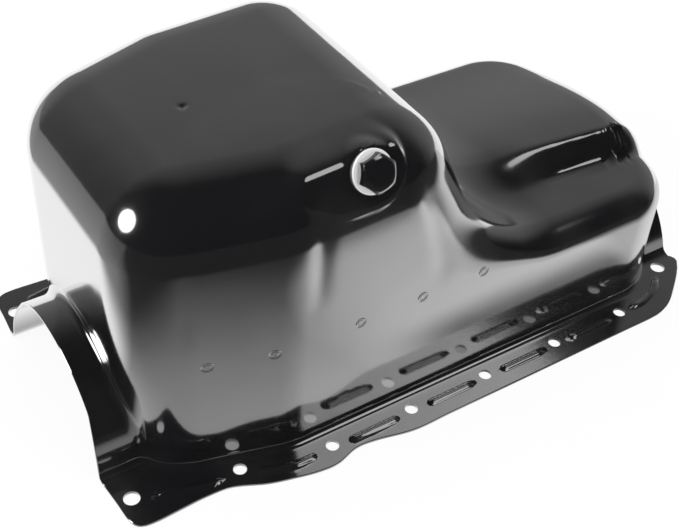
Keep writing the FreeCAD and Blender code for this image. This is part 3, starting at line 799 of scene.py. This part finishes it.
def weld(points: np.ndarray, faces: np.ndarray) -> tuple[np.ndarray, np.ndarray]:
    """Merge points that coincide, cut the quads into triangles and drop those that shrank to a line."""
    _, first, mapped = np.unique(np.round(points, 4), axis=0, return_index=True, return_inverse=True)
    quads = mapped.reshape(-1)[faces]
    triangles = np.vstack([quads[:, [0, 1, 2]], quads[:, [0, 2, 3]]])
    apart = ((triangles[:, 0] != triangles[:, 1]) & (triangles[:, 1] != triangles[:, 2])
             & (triangles[:, 2] != triangles[:, 0]))
    return points[first], triangles[apart]


def grid_object(name: str, grid: np.ndarray) -> bpy.types.Object:
    """Object from a grid that is closed around its columns. Both end rows may shrink to a pole or a line."""
    columns, rows, _ = grid.shape
    points, faces = weld(grid.reshape(-1, 3), grid_quads(columns, rows))
    return make_mesh(name, points, faces)


def sharpen(piece: bpy.types.Object, degrees: float) -> None:
    """Shade smooth across edges that turn by less than an angle and sharp across the others."""
    piece.data.shade_smooth()
    piece.data.set_sharp_from_angle(angle=math.radians(degrees))


def lathe(profile: np.ndarray, count: int) -> np.ndarray:
    """Grid of a profile of radii and heights turned once about +Z."""
    angle = np.linspace(0.0, 2 * math.pi, count, endpoint=False)[:, None]
    radius, height = profile[None, :, 0], profile[None, :, 1]
    return np.stack([radius * np.cos(angle), radius * np.sin(angle), np.broadcast_to(height, angle.shape[:1]
                     + height.shape[1:])], axis=-1)


class Value:
    """A shader socket that ordinary operators work on. Each operation adds its Math node."""

    def __init__(self, nodes: "Nodes", socket: bpy.types.NodeSocket) -> None:
        """Keep the node builder and the socket."""
        self.nodes = nodes
        self.socket = socket

    def _math(self, operation: str, first: object, second: object) -> "Value":
        """Add a Math node for two values or numbers."""
        node = self.nodes.add("ShaderNodeMath", {"operation": operation}, {0: first, 1: second})
        return Value(self.nodes, node.outputs[0])

    def __add__(self, other: object) -> "Value":
        """Sum."""
        return self._math("ADD", self, other)

    def __sub__(self, other: object) -> "Value":
        """Difference."""
        return self._math("SUBTRACT", self, other)

    def __mul__(self, other: object) -> "Value":
        """Product."""
        return self._math("MULTIPLY", self, other)

    def __rsub__(self, other: object) -> "Value":
        """Difference from a number."""
        return self._math("SUBTRACT", other, self)

    __radd__ = __add__
    __rmul__ = __mul__

    def least(self, other: object) -> "Value":
        """Smaller of two values."""
        return self._math("MINIMUM", self, other)

    def most(self, other: object) -> "Value":
        """Larger of two values."""
        return self._math("MAXIMUM", self, other)

    def power(self, other: float) -> "Value":
        """Value raised to a power."""
        return self._math("POWER", self, other)

    def size(self) -> "Value":
        """Value without its sign."""
        return self._math("ABSOLUTE", self, 0.0)

    def span(self, low: float, high: float, start: float = 0.0, end: float = 1.0) -> "Value":
        """Smooth step from a start to an end while the value goes from low to high."""
        node = self.nodes.add("ShaderNodeMapRange", {"interpolation_type": "SMOOTHSTEP"},
                              {"Value": self, "From Min": low, "From Max": high, "To Min": start, "To Max": end})
        return Value(self.nodes, node.outputs["Result"])


class Nodes:
    """Builder of one node tree."""

    def __init__(self, tree: bpy.types.NodeTree) -> None:
        """Empty the tree and keep it."""
        self.tree = tree
        tree.nodes.clear()

    def add(self, kind: str, settings: dict, inputs: dict) -> bpy.types.Node:
        """Add a node.

        Args:
            kind: Type name of the node.
            settings: Properties that are set first.
            inputs: Values or links of its sockets by name or number.

        Returns:
            The node.
        """
        node = self.tree.nodes.new(kind)
        for name, setting in settings.items():
            setattr(node, name, setting)
        for key, value in inputs.items():
            socket = node.inputs[key]
            if isinstance(value, Value):
                self.tree.links.new(value.socket, socket)
            elif isinstance(value, bpy.types.NodeSocket):
                self.tree.links.new(value, socket)
            else:
                socket.default_value = value
        return node

    def value(self, kind: str, settings: dict, inputs: dict, output: object = 0) -> Value:
        """Add a node and wrap one of its outputs."""
        return Value(self, self.add(kind, settings, inputs).outputs[output])

    def place(self) -> Value:
        """Object coordinates, in metres."""
        return self.value("ShaderNodeTexCoord", {}, {}, "Object")

    def parts(self, vector: Value) -> tuple[Value, Value, Value]:
        """The three parts of a vector."""
        node = self.add("ShaderNodeSeparateXYZ", {}, {0: vector})
        return tuple(Value(self, node.outputs[k]) for k in range(3))

    def noise(self, vector: Value, per_metre: float, detail: float = 2.0, roughness: float = 0.5) -> Value:
        """Noise from 0 to 1 with a number of waves in each metre."""
        return self.value("ShaderNodeTexNoise", {}, {"Vector": vector, "Scale": per_metre, "Detail": detail,
                                                     "Roughness": roughness})

    def mix(self, share: object, first: object, second: object) -> Value:
        """Blend of two colours."""
        return self.value("ShaderNodeMix", {"data_type": "RGBA"}, {0: share, 6: first, 7: second}, 2)

    def bump(self, height: Value, depth: float, normal: object = None) -> Value:
        """Normal of a height that spans a depth in metres."""
        inputs = {"Height": height, "Distance": depth, "Strength": 1.0}
        if normal is not None:
            inputs["Normal"] = normal
        return self.value("ShaderNodeBump", {}, inputs)


@dataclass(frozen=True)
class Finish:
    """Base of the finishes: makes a material with one Principled shader."""

    name: str

    def build(self) -> bpy.types.Material:
        """Make the material.

        Returns:
            The new material.
        """
        material = bpy.data.materials.new(self.name)
        material.use_nodes = True
        nodes = Nodes(material.node_tree)
        sockets = self.sockets(nodes)
        shader = nodes.add("ShaderNodeBsdfPrincipled", {}, sockets)
        surface = self.glaze(nodes, shader, sockets)
        nodes.add("ShaderNodeOutputMaterial", {}, {"Surface": surface.outputs[0]})
        material.diffuse_color = (0.02, 0.02, 0.02, 1.0)
        return material

    def sockets(self, nodes: Nodes) -> dict:
        """Values and links of the shader's sockets."""
        raise NotImplementedError

    def glaze(self, nodes: Nodes, shader: bpy.types.Node, sockets: dict) -> bpy.types.Node:
        """Shader that goes to the output: the plain one unless a finish lays something over it."""
        return shader


@dataclass(frozen=True)
class GlossPaint(Finish):
    """Black gloss paint on drawn sheet, with spot-weld rings in the side walls."""

    base: tuple = (0.008, 0.008, 0.009, 1.0)
    dust: tuple = (0.016, 0.016, 0.017, 1.0)
    gloss: float = 0.1
    dull: float = 0.15
    ior: float = 1.9
    coat_ior: float = 1.7
    coat_rough: float = 0.04
    graze_start: float = 0.2
    graze_end: float = 0.8
    graze_share: float = 0.95
    graze_tone: tuple = (0.8, 0.8, 0.8, 1.0)
    graze_rough: float = 0.1
    weld_places: tuple = ()
    weld_height: float = 79.0
    weld_radius: float = 2.6
    weld_wall: float = 60.0

    def sockets(self, nodes: Nodes) -> dict:
        """Near-black base, roughness in soft patches, a faint orange peel and the rings."""
        place = nodes.place()
        patches = nodes.noise(place, 18.0, 3.0)
        specks = nodes.noise(place, 420.0, 4.0, 0.65)
        peel = nodes.noise(place, 330.0, 1.0)
        sway = nodes.noise(place, 26.0, 1.0)
        tone = nodes.mix(patches.span(0.42, 0.7), self.base, self.dust)
        rough = patches.span(0.35, 0.75, self.gloss, self.dull) + specks.span(0.62, 0.74, 0.0, 0.05)
        normal = nodes.bump(sway, 0.00022)
        normal = nodes.bump(peel, 0.000012, normal)
        if self.weld_places:
            x, y, z = nodes.parts(place)
            rise = z - self.weld_height * MM
            nearest = None
            for weld_x in self.weld_places:
                run = x - weld_x * MM
                distance = (run * run + rise * rise).power(0.5)
                nearest = distance if nearest is None else nearest.least(distance)
            ring = (nearest - self.weld_radius * MM).size().span(0.0, 0.0011, 1.0, 0.0)
            inside = nearest.span(self.weld_radius * MM * 0.8, self.weld_radius * MM, 1.0, 0.0)
            wall = y.size().span(self.weld_wall * MM, (self.weld_wall + 1.0) * MM)
            normal = nodes.bump((ring * -1.0 - inside * 0.35) * wall, 0.00035, normal)
        return {"Base Color": tone, "Roughness": rough, "IOR": self.ior, "Coat Weight": 1.0,
                "Coat Roughness": self.coat_rough, "Coat IOR": self.coat_ior, "Normal": normal}

    def glaze(self, nodes: Nodes, shader: bpy.types.Node, sockets: dict) -> bpy.types.Node:
        """Lay the strong grazing gloss of baked enamel over the paint, by how far the surface turns away."""
        mirror = nodes.add("ShaderNodeBsdfPrincipled", {}, {
            "Base Color": self.graze_tone, "Metallic": 1.0, "Roughness": self.graze_rough,
            "Normal": sockets["Normal"]})
        facing = nodes.value("ShaderNodeLayerWeight", {}, {"Blend": 0.5, "Normal": sockets["Normal"]}, "Facing")
        share = facing.span(self.graze_start, self.graze_end, 0.0, self.graze_share)
        return nodes.add("ShaderNodeMixShader", {}, {0: share, 1: shader.outputs[0], 2: mirror.outputs[0]})


@dataclass(frozen=True)
class SatinPaint(Finish):
    """Thinner, duller black paint, as the baffle inside the pan has."""

    def sockets(self, nodes: Nodes) -> dict:
        """Dark grey with a rough, slightly mottled skin."""
        place = nodes.place()
        patches = nodes.noise(place, 30.0, 4.0)
        grain = nodes.noise(place, 700.0, 2.0)
        return {"Base Color": nodes.mix(patches, (0.012, 0.012, 0.013, 1.0), (0.030, 0.030, 0.031, 1.0)),
                "Roughness": patches.span(0.3, 0.7, 0.28, 0.42), "IOR": 1.6,
                "Normal": nodes.bump(grain, 0.00002)}


@dataclass(frozen=True)
class TurnedMetal(Finish):
    """Bare metal turned about the drain's axis: fine rings round a point."""

    colour: tuple
    shade: tuple
    rough: float
    centre: tuple
    axis: tuple
    groove: float = 0.00002
    metal: float = 1.0

    def sockets(self, nodes: Nodes) -> dict:
        """Rings by the distance from the axis, with a noise of their own, and softly mottled colour."""
        place = nodes.place()
        offset = nodes.value("ShaderNodeVectorMath", {"operation": "SUBTRACT"}, {0: place, 1: self.centre})
        along = nodes.value("ShaderNodeVectorMath", {"operation": "DOT_PRODUCT"}, {0: offset, 1: self.axis}, 1)
        length = nodes.value("ShaderNodeVectorMath", {"operation": "LENGTH"}, {0: offset}, 1)
        radius = (length * length - along * along).most(0.0).power(0.5)
        spread = nodes.value("ShaderNodeCombineXYZ", {}, {0: radius, 1: along * 0.6, 2: 0.0})
        rings = nodes.noise(spread, 2600.0, 2.0)
        patches = nodes.noise(place, 160.0, 3.0)
        return {"Base Color": nodes.mix(patches, self.colour, self.shade), "Metallic": self.metal,
                "Roughness": rings.span(0.2, 0.8, self.rough, self.rough + 0.12),
                "Normal": nodes.bump(rings, self.groove)}


@dataclass
class PanShell:
    """The drawn pan: outer skin, inner skin a gauge inside it, rounded rail edge and its holes."""

    sizes: FormSizes = field(default_factory=FormSizes)
    rails: RailSizes = field(default_factory=RailSizes)
    drain: DrainSizes = field(default_factory=DrainSizes)
    edge_round: float = 0.35
    hole_sides: int = 48
    hole_reach: float = 20.0
    drain_reach: tuple = (-15.0, 10.0)
    collar_gap: float = 0.05
    sharp_angle: float = 38.0

    def grid(self) -> np.ndarray:
        """One closed grid: the inner skin from its spine to the rail, the edge, and the outer skin to its spine."""
        surface = ShellSurface(self.sizes, self.rails, self.drain)
        outer = surface.outer()
        normals = grid_normals(outer)
        spine = outer[:, -1]
        flat = np.zeros(len(spine))
        ahead = surface.height(spine[:, 0] + 0.5, spine[:, 1], flat)
        behind = surface.height(spine[:, 0] - 0.5, spine[:, 1], flat)
        up = np.column_stack([behind - ahead, flat, np.ones(len(spine))])
        normals[:, -1] = up / np.linalg.norm(up, axis=1)[:, None]
        rows = outer.shape[1]
        kept = list(range(0, rows, 2)) + ([rows - 1] if (rows - 1) % 2 else [])
        inner = (outer - self.sizes.gauge * normals)[:, kept]
        out = outer[:, 0] - outer[:, 1]
        out /= np.linalg.norm(out, axis=1)[:, None]
        edge, normal = outer[:, 0].copy(), normals[:, 0]
        outer[:, 0] = edge - self.edge_round * out
        inner[:, 0] = edge - self.edge_round * out - self.sizes.gauge * normal
        side = [edge - (self.sizes.gauge - self.edge_round) * normal, edge - self.edge_round * normal]
        return np.concatenate([inner[:, ::-1], np.stack(side, axis=1), outer], axis=1)

    def bar(self, radius: float, low: float, high: float) -> np.ndarray:
        """Grid of a round bar about +Z between two levels."""
        return lathe(np.array([[0.0, low], [radius, low], [radius, high], [0.0, high]]), self.hole_sides)

    def cutter(self) -> bpy.types.Object:
        """All bolt holes and the drain hole as round bars in one object."""
        bars = []
        for (x, y), radius in self.rails.holes():
            for side in Side:
                bar = self.bar(radius, -self.hole_reach, self.hole_reach)
                bars.append(bar + np.array([x, -side.value * y, 0.0]))
        bar = self.bar(self.drain.collar_radius + self.collar_gap, *self.drain_reach)
        bars.append(self.drain.placed(bar, self.sizes, 0.0))
        points, faces, offset = [], [], 0
        for bar in bars:
            bar_points, bar_faces = weld(bar.reshape(-1, 3), grid_quads(bar.shape[0], bar.shape[1]))
            points.append(bar_points)
            faces.append(bar_faces + offset)
            offset += len(bar_points)
        return make_mesh("hole_cutter", np.vstack(points), np.vstack(faces))

    def build(self, paint: bpy.types.Material) -> bpy.types.Object:
        """Make the shell, pierce it and paint it.

        Args:
            paint: Its material.

        Returns:
            The object that stands for the pan's shell.
        """
        shell = grid_object("pan_skin", self.grid())
        shell.data.materials.append(paint)
        cutter = self.cutter()
        cutter.data.materials.append(paint)
        pierce = shell.modifiers.new("pierce", "BOOLEAN")
        pierce.operation = "DIFFERENCE"
        pierce.solver = "EXACT"
        pierce.object = cutter
        depsgraph = bpy.context.evaluated_depsgraph_get()
        pierced = bpy.data.meshes.new_from_object(shell.evaluated_get(depsgraph))
        shell.modifiers.remove(pierce)
        plain = shell.data
        shell.data = pierced
        bpy.data.meshes.remove(plain)
        bpy.data.meshes.remove(cutter.data)
        sharpen(shell, self.sharp_angle)
        return shell


@dataclass
class DrainFittings:
    """Plug with a cut thread and a crowned hexagon, and its soft washer."""

    sizes: FormSizes = field(default_factory=FormSizes)
    drain: DrainSizes = field(default_factory=DrainSizes)
    columns: int = 144
    washer_columns: int = 120
    rows_per_pitch: int = 8
    clearance: float = 0.02
    corner_inset: float = 0.05
    corner_blend: float = 0.5
    chamfer_angle: float = 30.0
    chamfer_blend: float = 0.8
    sharp_angle: float = 50.0

    def head_radius(self, angle: np.ndarray) -> np.ndarray:
        """Distance from the axis to the hexagon's side: half the flats over cos of the angle to its middle.

        The corners are rounded by a soft minimum with a circle just inside their tips.
        """
        half = self.drain.across_flats / 2
        turned = np.mod(angle - math.radians(self.drain.turn), math.pi / 3) - math.pi / 6
        side = half / np.cos(turned)
        corner = half / math.cos(math.pi / 6)
        return -soft_max(-side, np.full_like(side, -(corner - self.corner_inset)), self.corner_blend)

    def crown_level(self, radius: np.ndarray) -> np.ndarray:
        """Height of the head at a distance from the axis: flat, then falling along the chamfer, eased."""
        drain = self.drain
        fall = (radius - drain.crown_radius) * math.tan(math.radians(self.chamfer_angle))
        return drain.head_height - soft_max(fall, np.zeros_like(fall), self.chamfer_blend)

    def plug(self, finish: bpy.types.Material) -> bpy.types.Object:
        """Plug from the middle of its tip over the thread and the head to the middle of its crown.

        The thread's radius is the outer one less a depth times a rounded triangle wave of the phase
        height / pitch - angle / 2π, so that the ridge climbs one pitch in each turn.

        Args:
            finish: Its material.

        Returns:
            The plug.
        """
        drain = self.drain
        angle = np.linspace(0.0, 2 * math.pi, self.columns, endpoint=False)[:, None]
        end = -(drain.shank_length + drain.tip_length)
        level = np.linspace(end, -1.0, int((-end - 1.0) / drain.thread_pitch * self.rows_per_pitch))[None, :]
        phase = np.mod(level / drain.thread_pitch - angle / (2 * math.pi), 1.0)
        wave = np.abs(2 * phase - 1.0)
        groove = drain.thread_depth * smooth(wave) * smooth((-1.6 - level) / 1.2)
        taper = np.clip(-drain.shank_length - level, 0.0, drain.tip_length)
        relief = drain.thread_radius - self.clearance
        shank = np.minimum(drain.thread_radius - taper, relief - groove)
        thread = np.stack([shank, np.broadcast_to(level, shank.shape)], axis=-1)
        tip = np.stack([shank[:, :1] * 0.0, np.full(shank[:, :1].shape, end)], axis=-1)
        tip_edge = np.stack([shank[:, :1] * 0.6, np.full(shank[:, :1].shape, end)], axis=-1)
        neck = np.stack([np.full((self.columns, 2), relief),
                         np.broadcast_to(np.array([[-0.6, 0.0]]), (self.columns, 2))], axis=-1)
        hexagon = self.head_radius(angle)
        foot = 0.35
        under = np.stack([hexagon - foot, np.zeros_like(hexagon)], axis=-1)
        rounding = np.linspace(0.0, math.pi / 2, 5)[None, :]
        round_size = 0.45
        top_edge = self.crown_level(hexagon)
        side = np.stack([np.hstack([hexagon - 0.1, hexagon, hexagon]),
                         np.hstack([np.full_like(hexagon, 0.1), np.full_like(hexagon, foot),
                                    0.5 * top_edge])], axis=-1)
        over = np.stack([hexagon - round_size * (1 - np.cos(rounding)),
                         top_edge - round_size * (1 - np.sin(rounding))], axis=-1)
        crown_share = np.array([[0.25, 0.5, 0.75, 0.9, 1.0]])
        ring = (hexagon - round_size) * (1 - crown_share) + (drain.crown_radius - 0.6) * crown_share
        crown = np.stack([ring, self.crown_level(ring)], axis=-1)
        inner = np.array([[6.6, 5.6, 4.0, 2.0, 0.0]])
        dish = 0.12 * smooth(1.0 - inner / 7.0)
        top = np.stack([np.repeat(inner, self.columns, axis=0),
                        np.repeat(drain.head_height - dish, self.columns, axis=0)], axis=-1)
        rows = np.concatenate([tip, tip_edge, thread, neck, under, side, over, crown, top], axis=1)
        grid = np.stack([rows[..., 0] * np.cos(angle), rows[..., 0] * np.sin(angle), rows[..., 1]], axis=-1)
        plug = grid_object("plug_turned", drain.placed(grid, self.sizes, drain.washer_thickness))
        plug.data.materials.append(finish)
        sharpen(plug, self.sharp_angle)
        return plug

    def washer(self, finish: bpy.types.Material) -> bpy.types.Object:
        """Washer as a ring with rounded edges, and a fine groove turned in its face.

        Args:
            finish: Its material.

        Returns:
            The washer.
        """
        drain = self.drain
        edge = 0.4
        turn = np.linspace(0.0, math.pi / 2, 5)
        outer = drain.washer_radius - edge
        bore, top, chamfer = drain.washer_bore, drain.washer_thickness, 0.2
        low = np.column_stack([outer + edge * np.sin(turn), edge - edge * np.cos(turn)])
        high = np.column_stack([outer + edge * np.cos(turn), top - edge + edge * np.sin(turn)])
        face = np.array([[11.2, top], [10.9, top - 0.07], [10.6, top], [bore + chamfer, top],
                         [bore, top - chamfer], [bore, chamfer], [bore + chamfer, 0.0]])
        profile = np.vstack([low, high, face, low[:1]])
        grid = lathe(profile, self.washer_columns)
        washer = grid_object("washer_ring", drain.placed(grid, self.sizes, 0.0))
        washer.data.materials.append(finish)
        sharpen(washer, self.sharp_angle)
        return washer


@dataclass
class Studio:
    """Camera, pale floor, world and lamps."""

    place: tuple = (-342.7, -478.5, 539.4)
    yaw: float = 34.88
    pitch: float = 41.46
    roll: float = 3.48
    lens: float = 63.65
    floor_span: float = 12.0
    floor_seen: float = 0.93
    sky_low: float = 0.008
    sky_high: float = 0.16
    sky_light: float = 0.95
    lamps: tuple = (
        ("key_lamp", (-1400.0, 275.0, 702.0), (-174.0, -55.0, 167.0), 640.0, 11.0),
        ("front_lamp", (679.0, -827.0, 1406.0), (-45.0, -83.0, 186.0), 760.0, 3.4),
    )

    def camera(self) -> None:
        """Camera at the photograph's angle: yaw from +Y, pitch down, and roll about its own axis."""
        yaw, pitch, roll = (math.radians(angle) for angle in (self.yaw, self.pitch, self.roll))
        ahead = Vector((math.sin(yaw) * math.cos(pitch), math.cos(yaw) * math.cos(pitch), -math.sin(pitch)))
        right = Vector((math.cos(yaw), -math.sin(yaw), 0.0))
        up = right.cross(ahead)
        right_rolled = right * math.cos(roll) + up * math.sin(roll)
        up_rolled = up * math.cos(roll) - right * math.sin(roll)
        data = bpy.data.cameras.new("camera")
        data.sensor_fit = "HORIZONTAL"
        data.sensor_width = 36.0
        data.lens = self.lens
        data.clip_start = 0.01
        data.clip_end = 50.0
        camera = bpy.data.objects.new("camera", data)
        turn = Matrix((right_rolled, up_rolled, -ahead)).transposed().to_4x4()
        camera.matrix_world = Matrix.Translation(Vector(self.place) * MM) @ turn
        bpy.context.scene.collection.objects.link(camera)
        bpy.context.scene.camera = camera

    def floor(self) -> None:
        """Wide floor: white to the camera, with painted light and shade in reflections, pale and matte to the light
        for faint shadows.
        """
        half = self.floor_span / 2 / MM
        corners = np.array([[-half, -half, 0.0], [half, -half, 0.0], [half, half, 0.0], [-half, half, 0.0]])
        floor = make_mesh("floor", corners, np.array([[0, 1, 2, 3]]))
        material = bpy.data.materials.new("floor_white")
        material.use_nodes = True
        nodes = Nodes(material.node_tree)
        path = nodes.add("ShaderNodeLightPath", {}, {})
        seen = Value(nodes, path.outputs["Is Camera Ray"])
        mirrored = Value(nodes, path.outputs["Is Glossy Ray"])
        through = Value(nodes, path.outputs["Is Transmission Ray"])
        matte = nodes.add("ShaderNodeBsdfDiffuse", {}, {"Color": (0.9, 0.9, 0.9, 1.0)})
        white = nodes.add("ShaderNodeEmission", {}, {"Color": (1.0, 1.0, 1.0, 1.0), "Strength": 1.0})
        # the floor seen in reflections carries painted light and shade by place
        dim = nodes.add("ShaderNodeEmission", {}, {"Color": (1.0, 1.0, 1.0, 1.0), "Strength": self.tone(nodes)})
        share = (seen * self.floor_seen + through).least(1.0)
        blend = nodes.add("ShaderNodeMixShader", {}, {0: share, 1: matte.outputs[0], 2: white.outputs[0]})
        blend = nodes.add("ShaderNodeMixShader", {}, {0: mirrored, 1: blend.outputs[0], 2: dim.outputs[0]})
        nodes.add("ShaderNodeOutputMaterial", {}, {"Surface": blend.outputs[0]})
        floor.data.materials.append(material)

    def tone(self, nodes: Nodes) -> Value:
        """Brightness of the floor in reflections, by the place on it in metres: painted light and shade, seen only in
        reflections.

        It is white behind the pan and along the right of its near side, up to a line in front of it. Elsewhere on the
        near side it falls off with the distance from the pan, a painted shade. It is dim beside the near rail's right
        half, a painted contact shadow of the pan.
        """
        x, y, _ = nodes.parts(nodes.place())
        behind = y.span(-0.09, 0.02) * x.span(-0.31, -0.25, 0.3, 1.0)
        corner = x.span(0.17, 0.24) * y.span(-0.32, -0.25)
        ahead = y * -1.0
        # painted shade: the reflected white of the floor ends at a line in front of the pan
        right = x.span(-0.17, 0.03) * (1.0 - corner) * ahead.span(0.215, 0.27, 1.0, 0.0)
        aside = (x * -1.35 - 0.23).most(0.0)
        past = (ahead - 0.09).most(0.0)
        away = (aside * aside + past * past).power(0.5)
        # painted shade: the floor's reflected brightness falls off away from the pan
        close = away.span(0.03, 0.2, 0.75, 0.04)
        # painted contact shadow of the pan beside the near rail's right half, seen only in reflections
        rail = ahead.span(0.0, 0.05) * ahead.span(0.126, 0.15, 1.0, 0.0) * x.span(-0.03, 0.05)
        rail = rail * x.span(0.17, 0.2, 1.0, 0.0)
        return behind.most(right).most(close) * (1.0 - rail * 0.75)

    def world(self) -> None:
        """Sky: white to the camera, dark to reflections above the pan's near side and mid grey beyond it."""
        world = bpy.data.worlds.new("studio")
        bpy.context.scene.world = world
        world.use_nodes = True
        nodes = Nodes(world.node_tree)
        path = nodes.add("ShaderNodeLightPath", {}, {})
        seen = Value(nodes, path.outputs["Is Camera Ray"])
        mirrored = Value(nodes, path.outputs["Is Glossy Ray"])
        place = nodes.value("ShaderNodeTexCoord", {}, {}, "Generated")
        x, y, _ = nodes.parts(place)
        yaw = math.radians(self.yaw)
        beyond = x * math.sin(yaw) + y * math.cos(yaw)
        glow = beyond.span(0.05, 0.55, self.sky_low, self.sky_high)
        strength = mirrored * glow + (1.0 - mirrored) * self.sky_light
        strength = seen + (1.0 - seen) * strength
        sky = nodes.add("ShaderNodeBackground", {}, {"Color": (1.0, 1.0, 1.0, 1.0), "Strength": strength})
        nodes.add("ShaderNodeOutputWorld", {}, {"Surface": sky.outputs[0]})

    def lamp(self, name: str, place: tuple, aim: tuple, width: float, power: float) -> None:
        """Round soft lamp at a place in millimetres, aimed at a point."""
        data = bpy.data.lights.new(name, "AREA")
        data.shape = "DISK"
        data.size = width * MM
        data.energy = power
        lamp = bpy.data.objects.new(name, data)
        lamp.location = Vector(place) * MM
        lamp.rotation_euler = (Vector(aim) - Vector(place)).to_track_quat("-Z", "Y").to_euler()
        bpy.context.scene.collection.objects.link(lamp)

    def build(self) -> None:
        """Make everything of the studio."""
        self.camera()
        self.floor()
        self.world()
        for settings in self.lamps:
            self.lamp(*settings)
        bpy.context.scene.view_settings.view_transform = "Standard"


def main() -> None:
    """Build every piece in order and report it."""
    logging.basicConfig(level=logging.INFO, format="%(name)s: %(message)s")
    Studio().build()
    sizes, drain = FormSizes(), DrainSizes()
    paint = GlossPaint("gloss_black_paint", weld_places=(-148.6, -113.0, -59.9, -17.9, 25.6))
    shell = PanShell(sizes, RailSizes(), drain).build(paint.build())
    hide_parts("pan_shell")
    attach(shell, "pan")
    LOG.info("pan shell: %d faces", len(shell.data.polygons))

    fittings = DrainFittings(sizes, drain)
    point = tuple(float(value) * MM for value in drain.point(sizes))
    axis = tuple(float(value) for value in drain.axes()[0])
    plug = fittings.plug(GlossPaint("plug_black", gloss=0.12, dull=0.2).build())
    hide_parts("drain_plug")
    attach(plug, "plug")
    LOG.info("drain plug: %d faces", len(plug.data.polygons))
    bright = TurnedMetal("washer_bright", (0.95, 0.95, 0.95, 1.0), (0.88, 0.88, 0.89, 1.0), 0.3, point, axis,
                         metal=0.0)
    washer = fittings.washer(bright.build())
    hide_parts("drain_washer")
    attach(washer, "washer")
    LOG.info("drain washer: %d faces", len(washer.data.polygons))

    zinc = TurnedMetal("nut_zinc", (0.50, 0.50, 0.52, 1.0), (0.38, 0.38, 0.40, 1.0), 0.3, point, axis, 0.00004)
    dressed = {"drain_nut": zinc, "sump_baffle": SatinPaint("baffle_paint")}
    for node, finish in dressed.items():
        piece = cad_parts[node]
        piece.data.materials.clear()
        piece.data.materials.append(finish.build())
        LOG.info("%s keeps its solid", node)


if __name__ == "__main__":
    main()
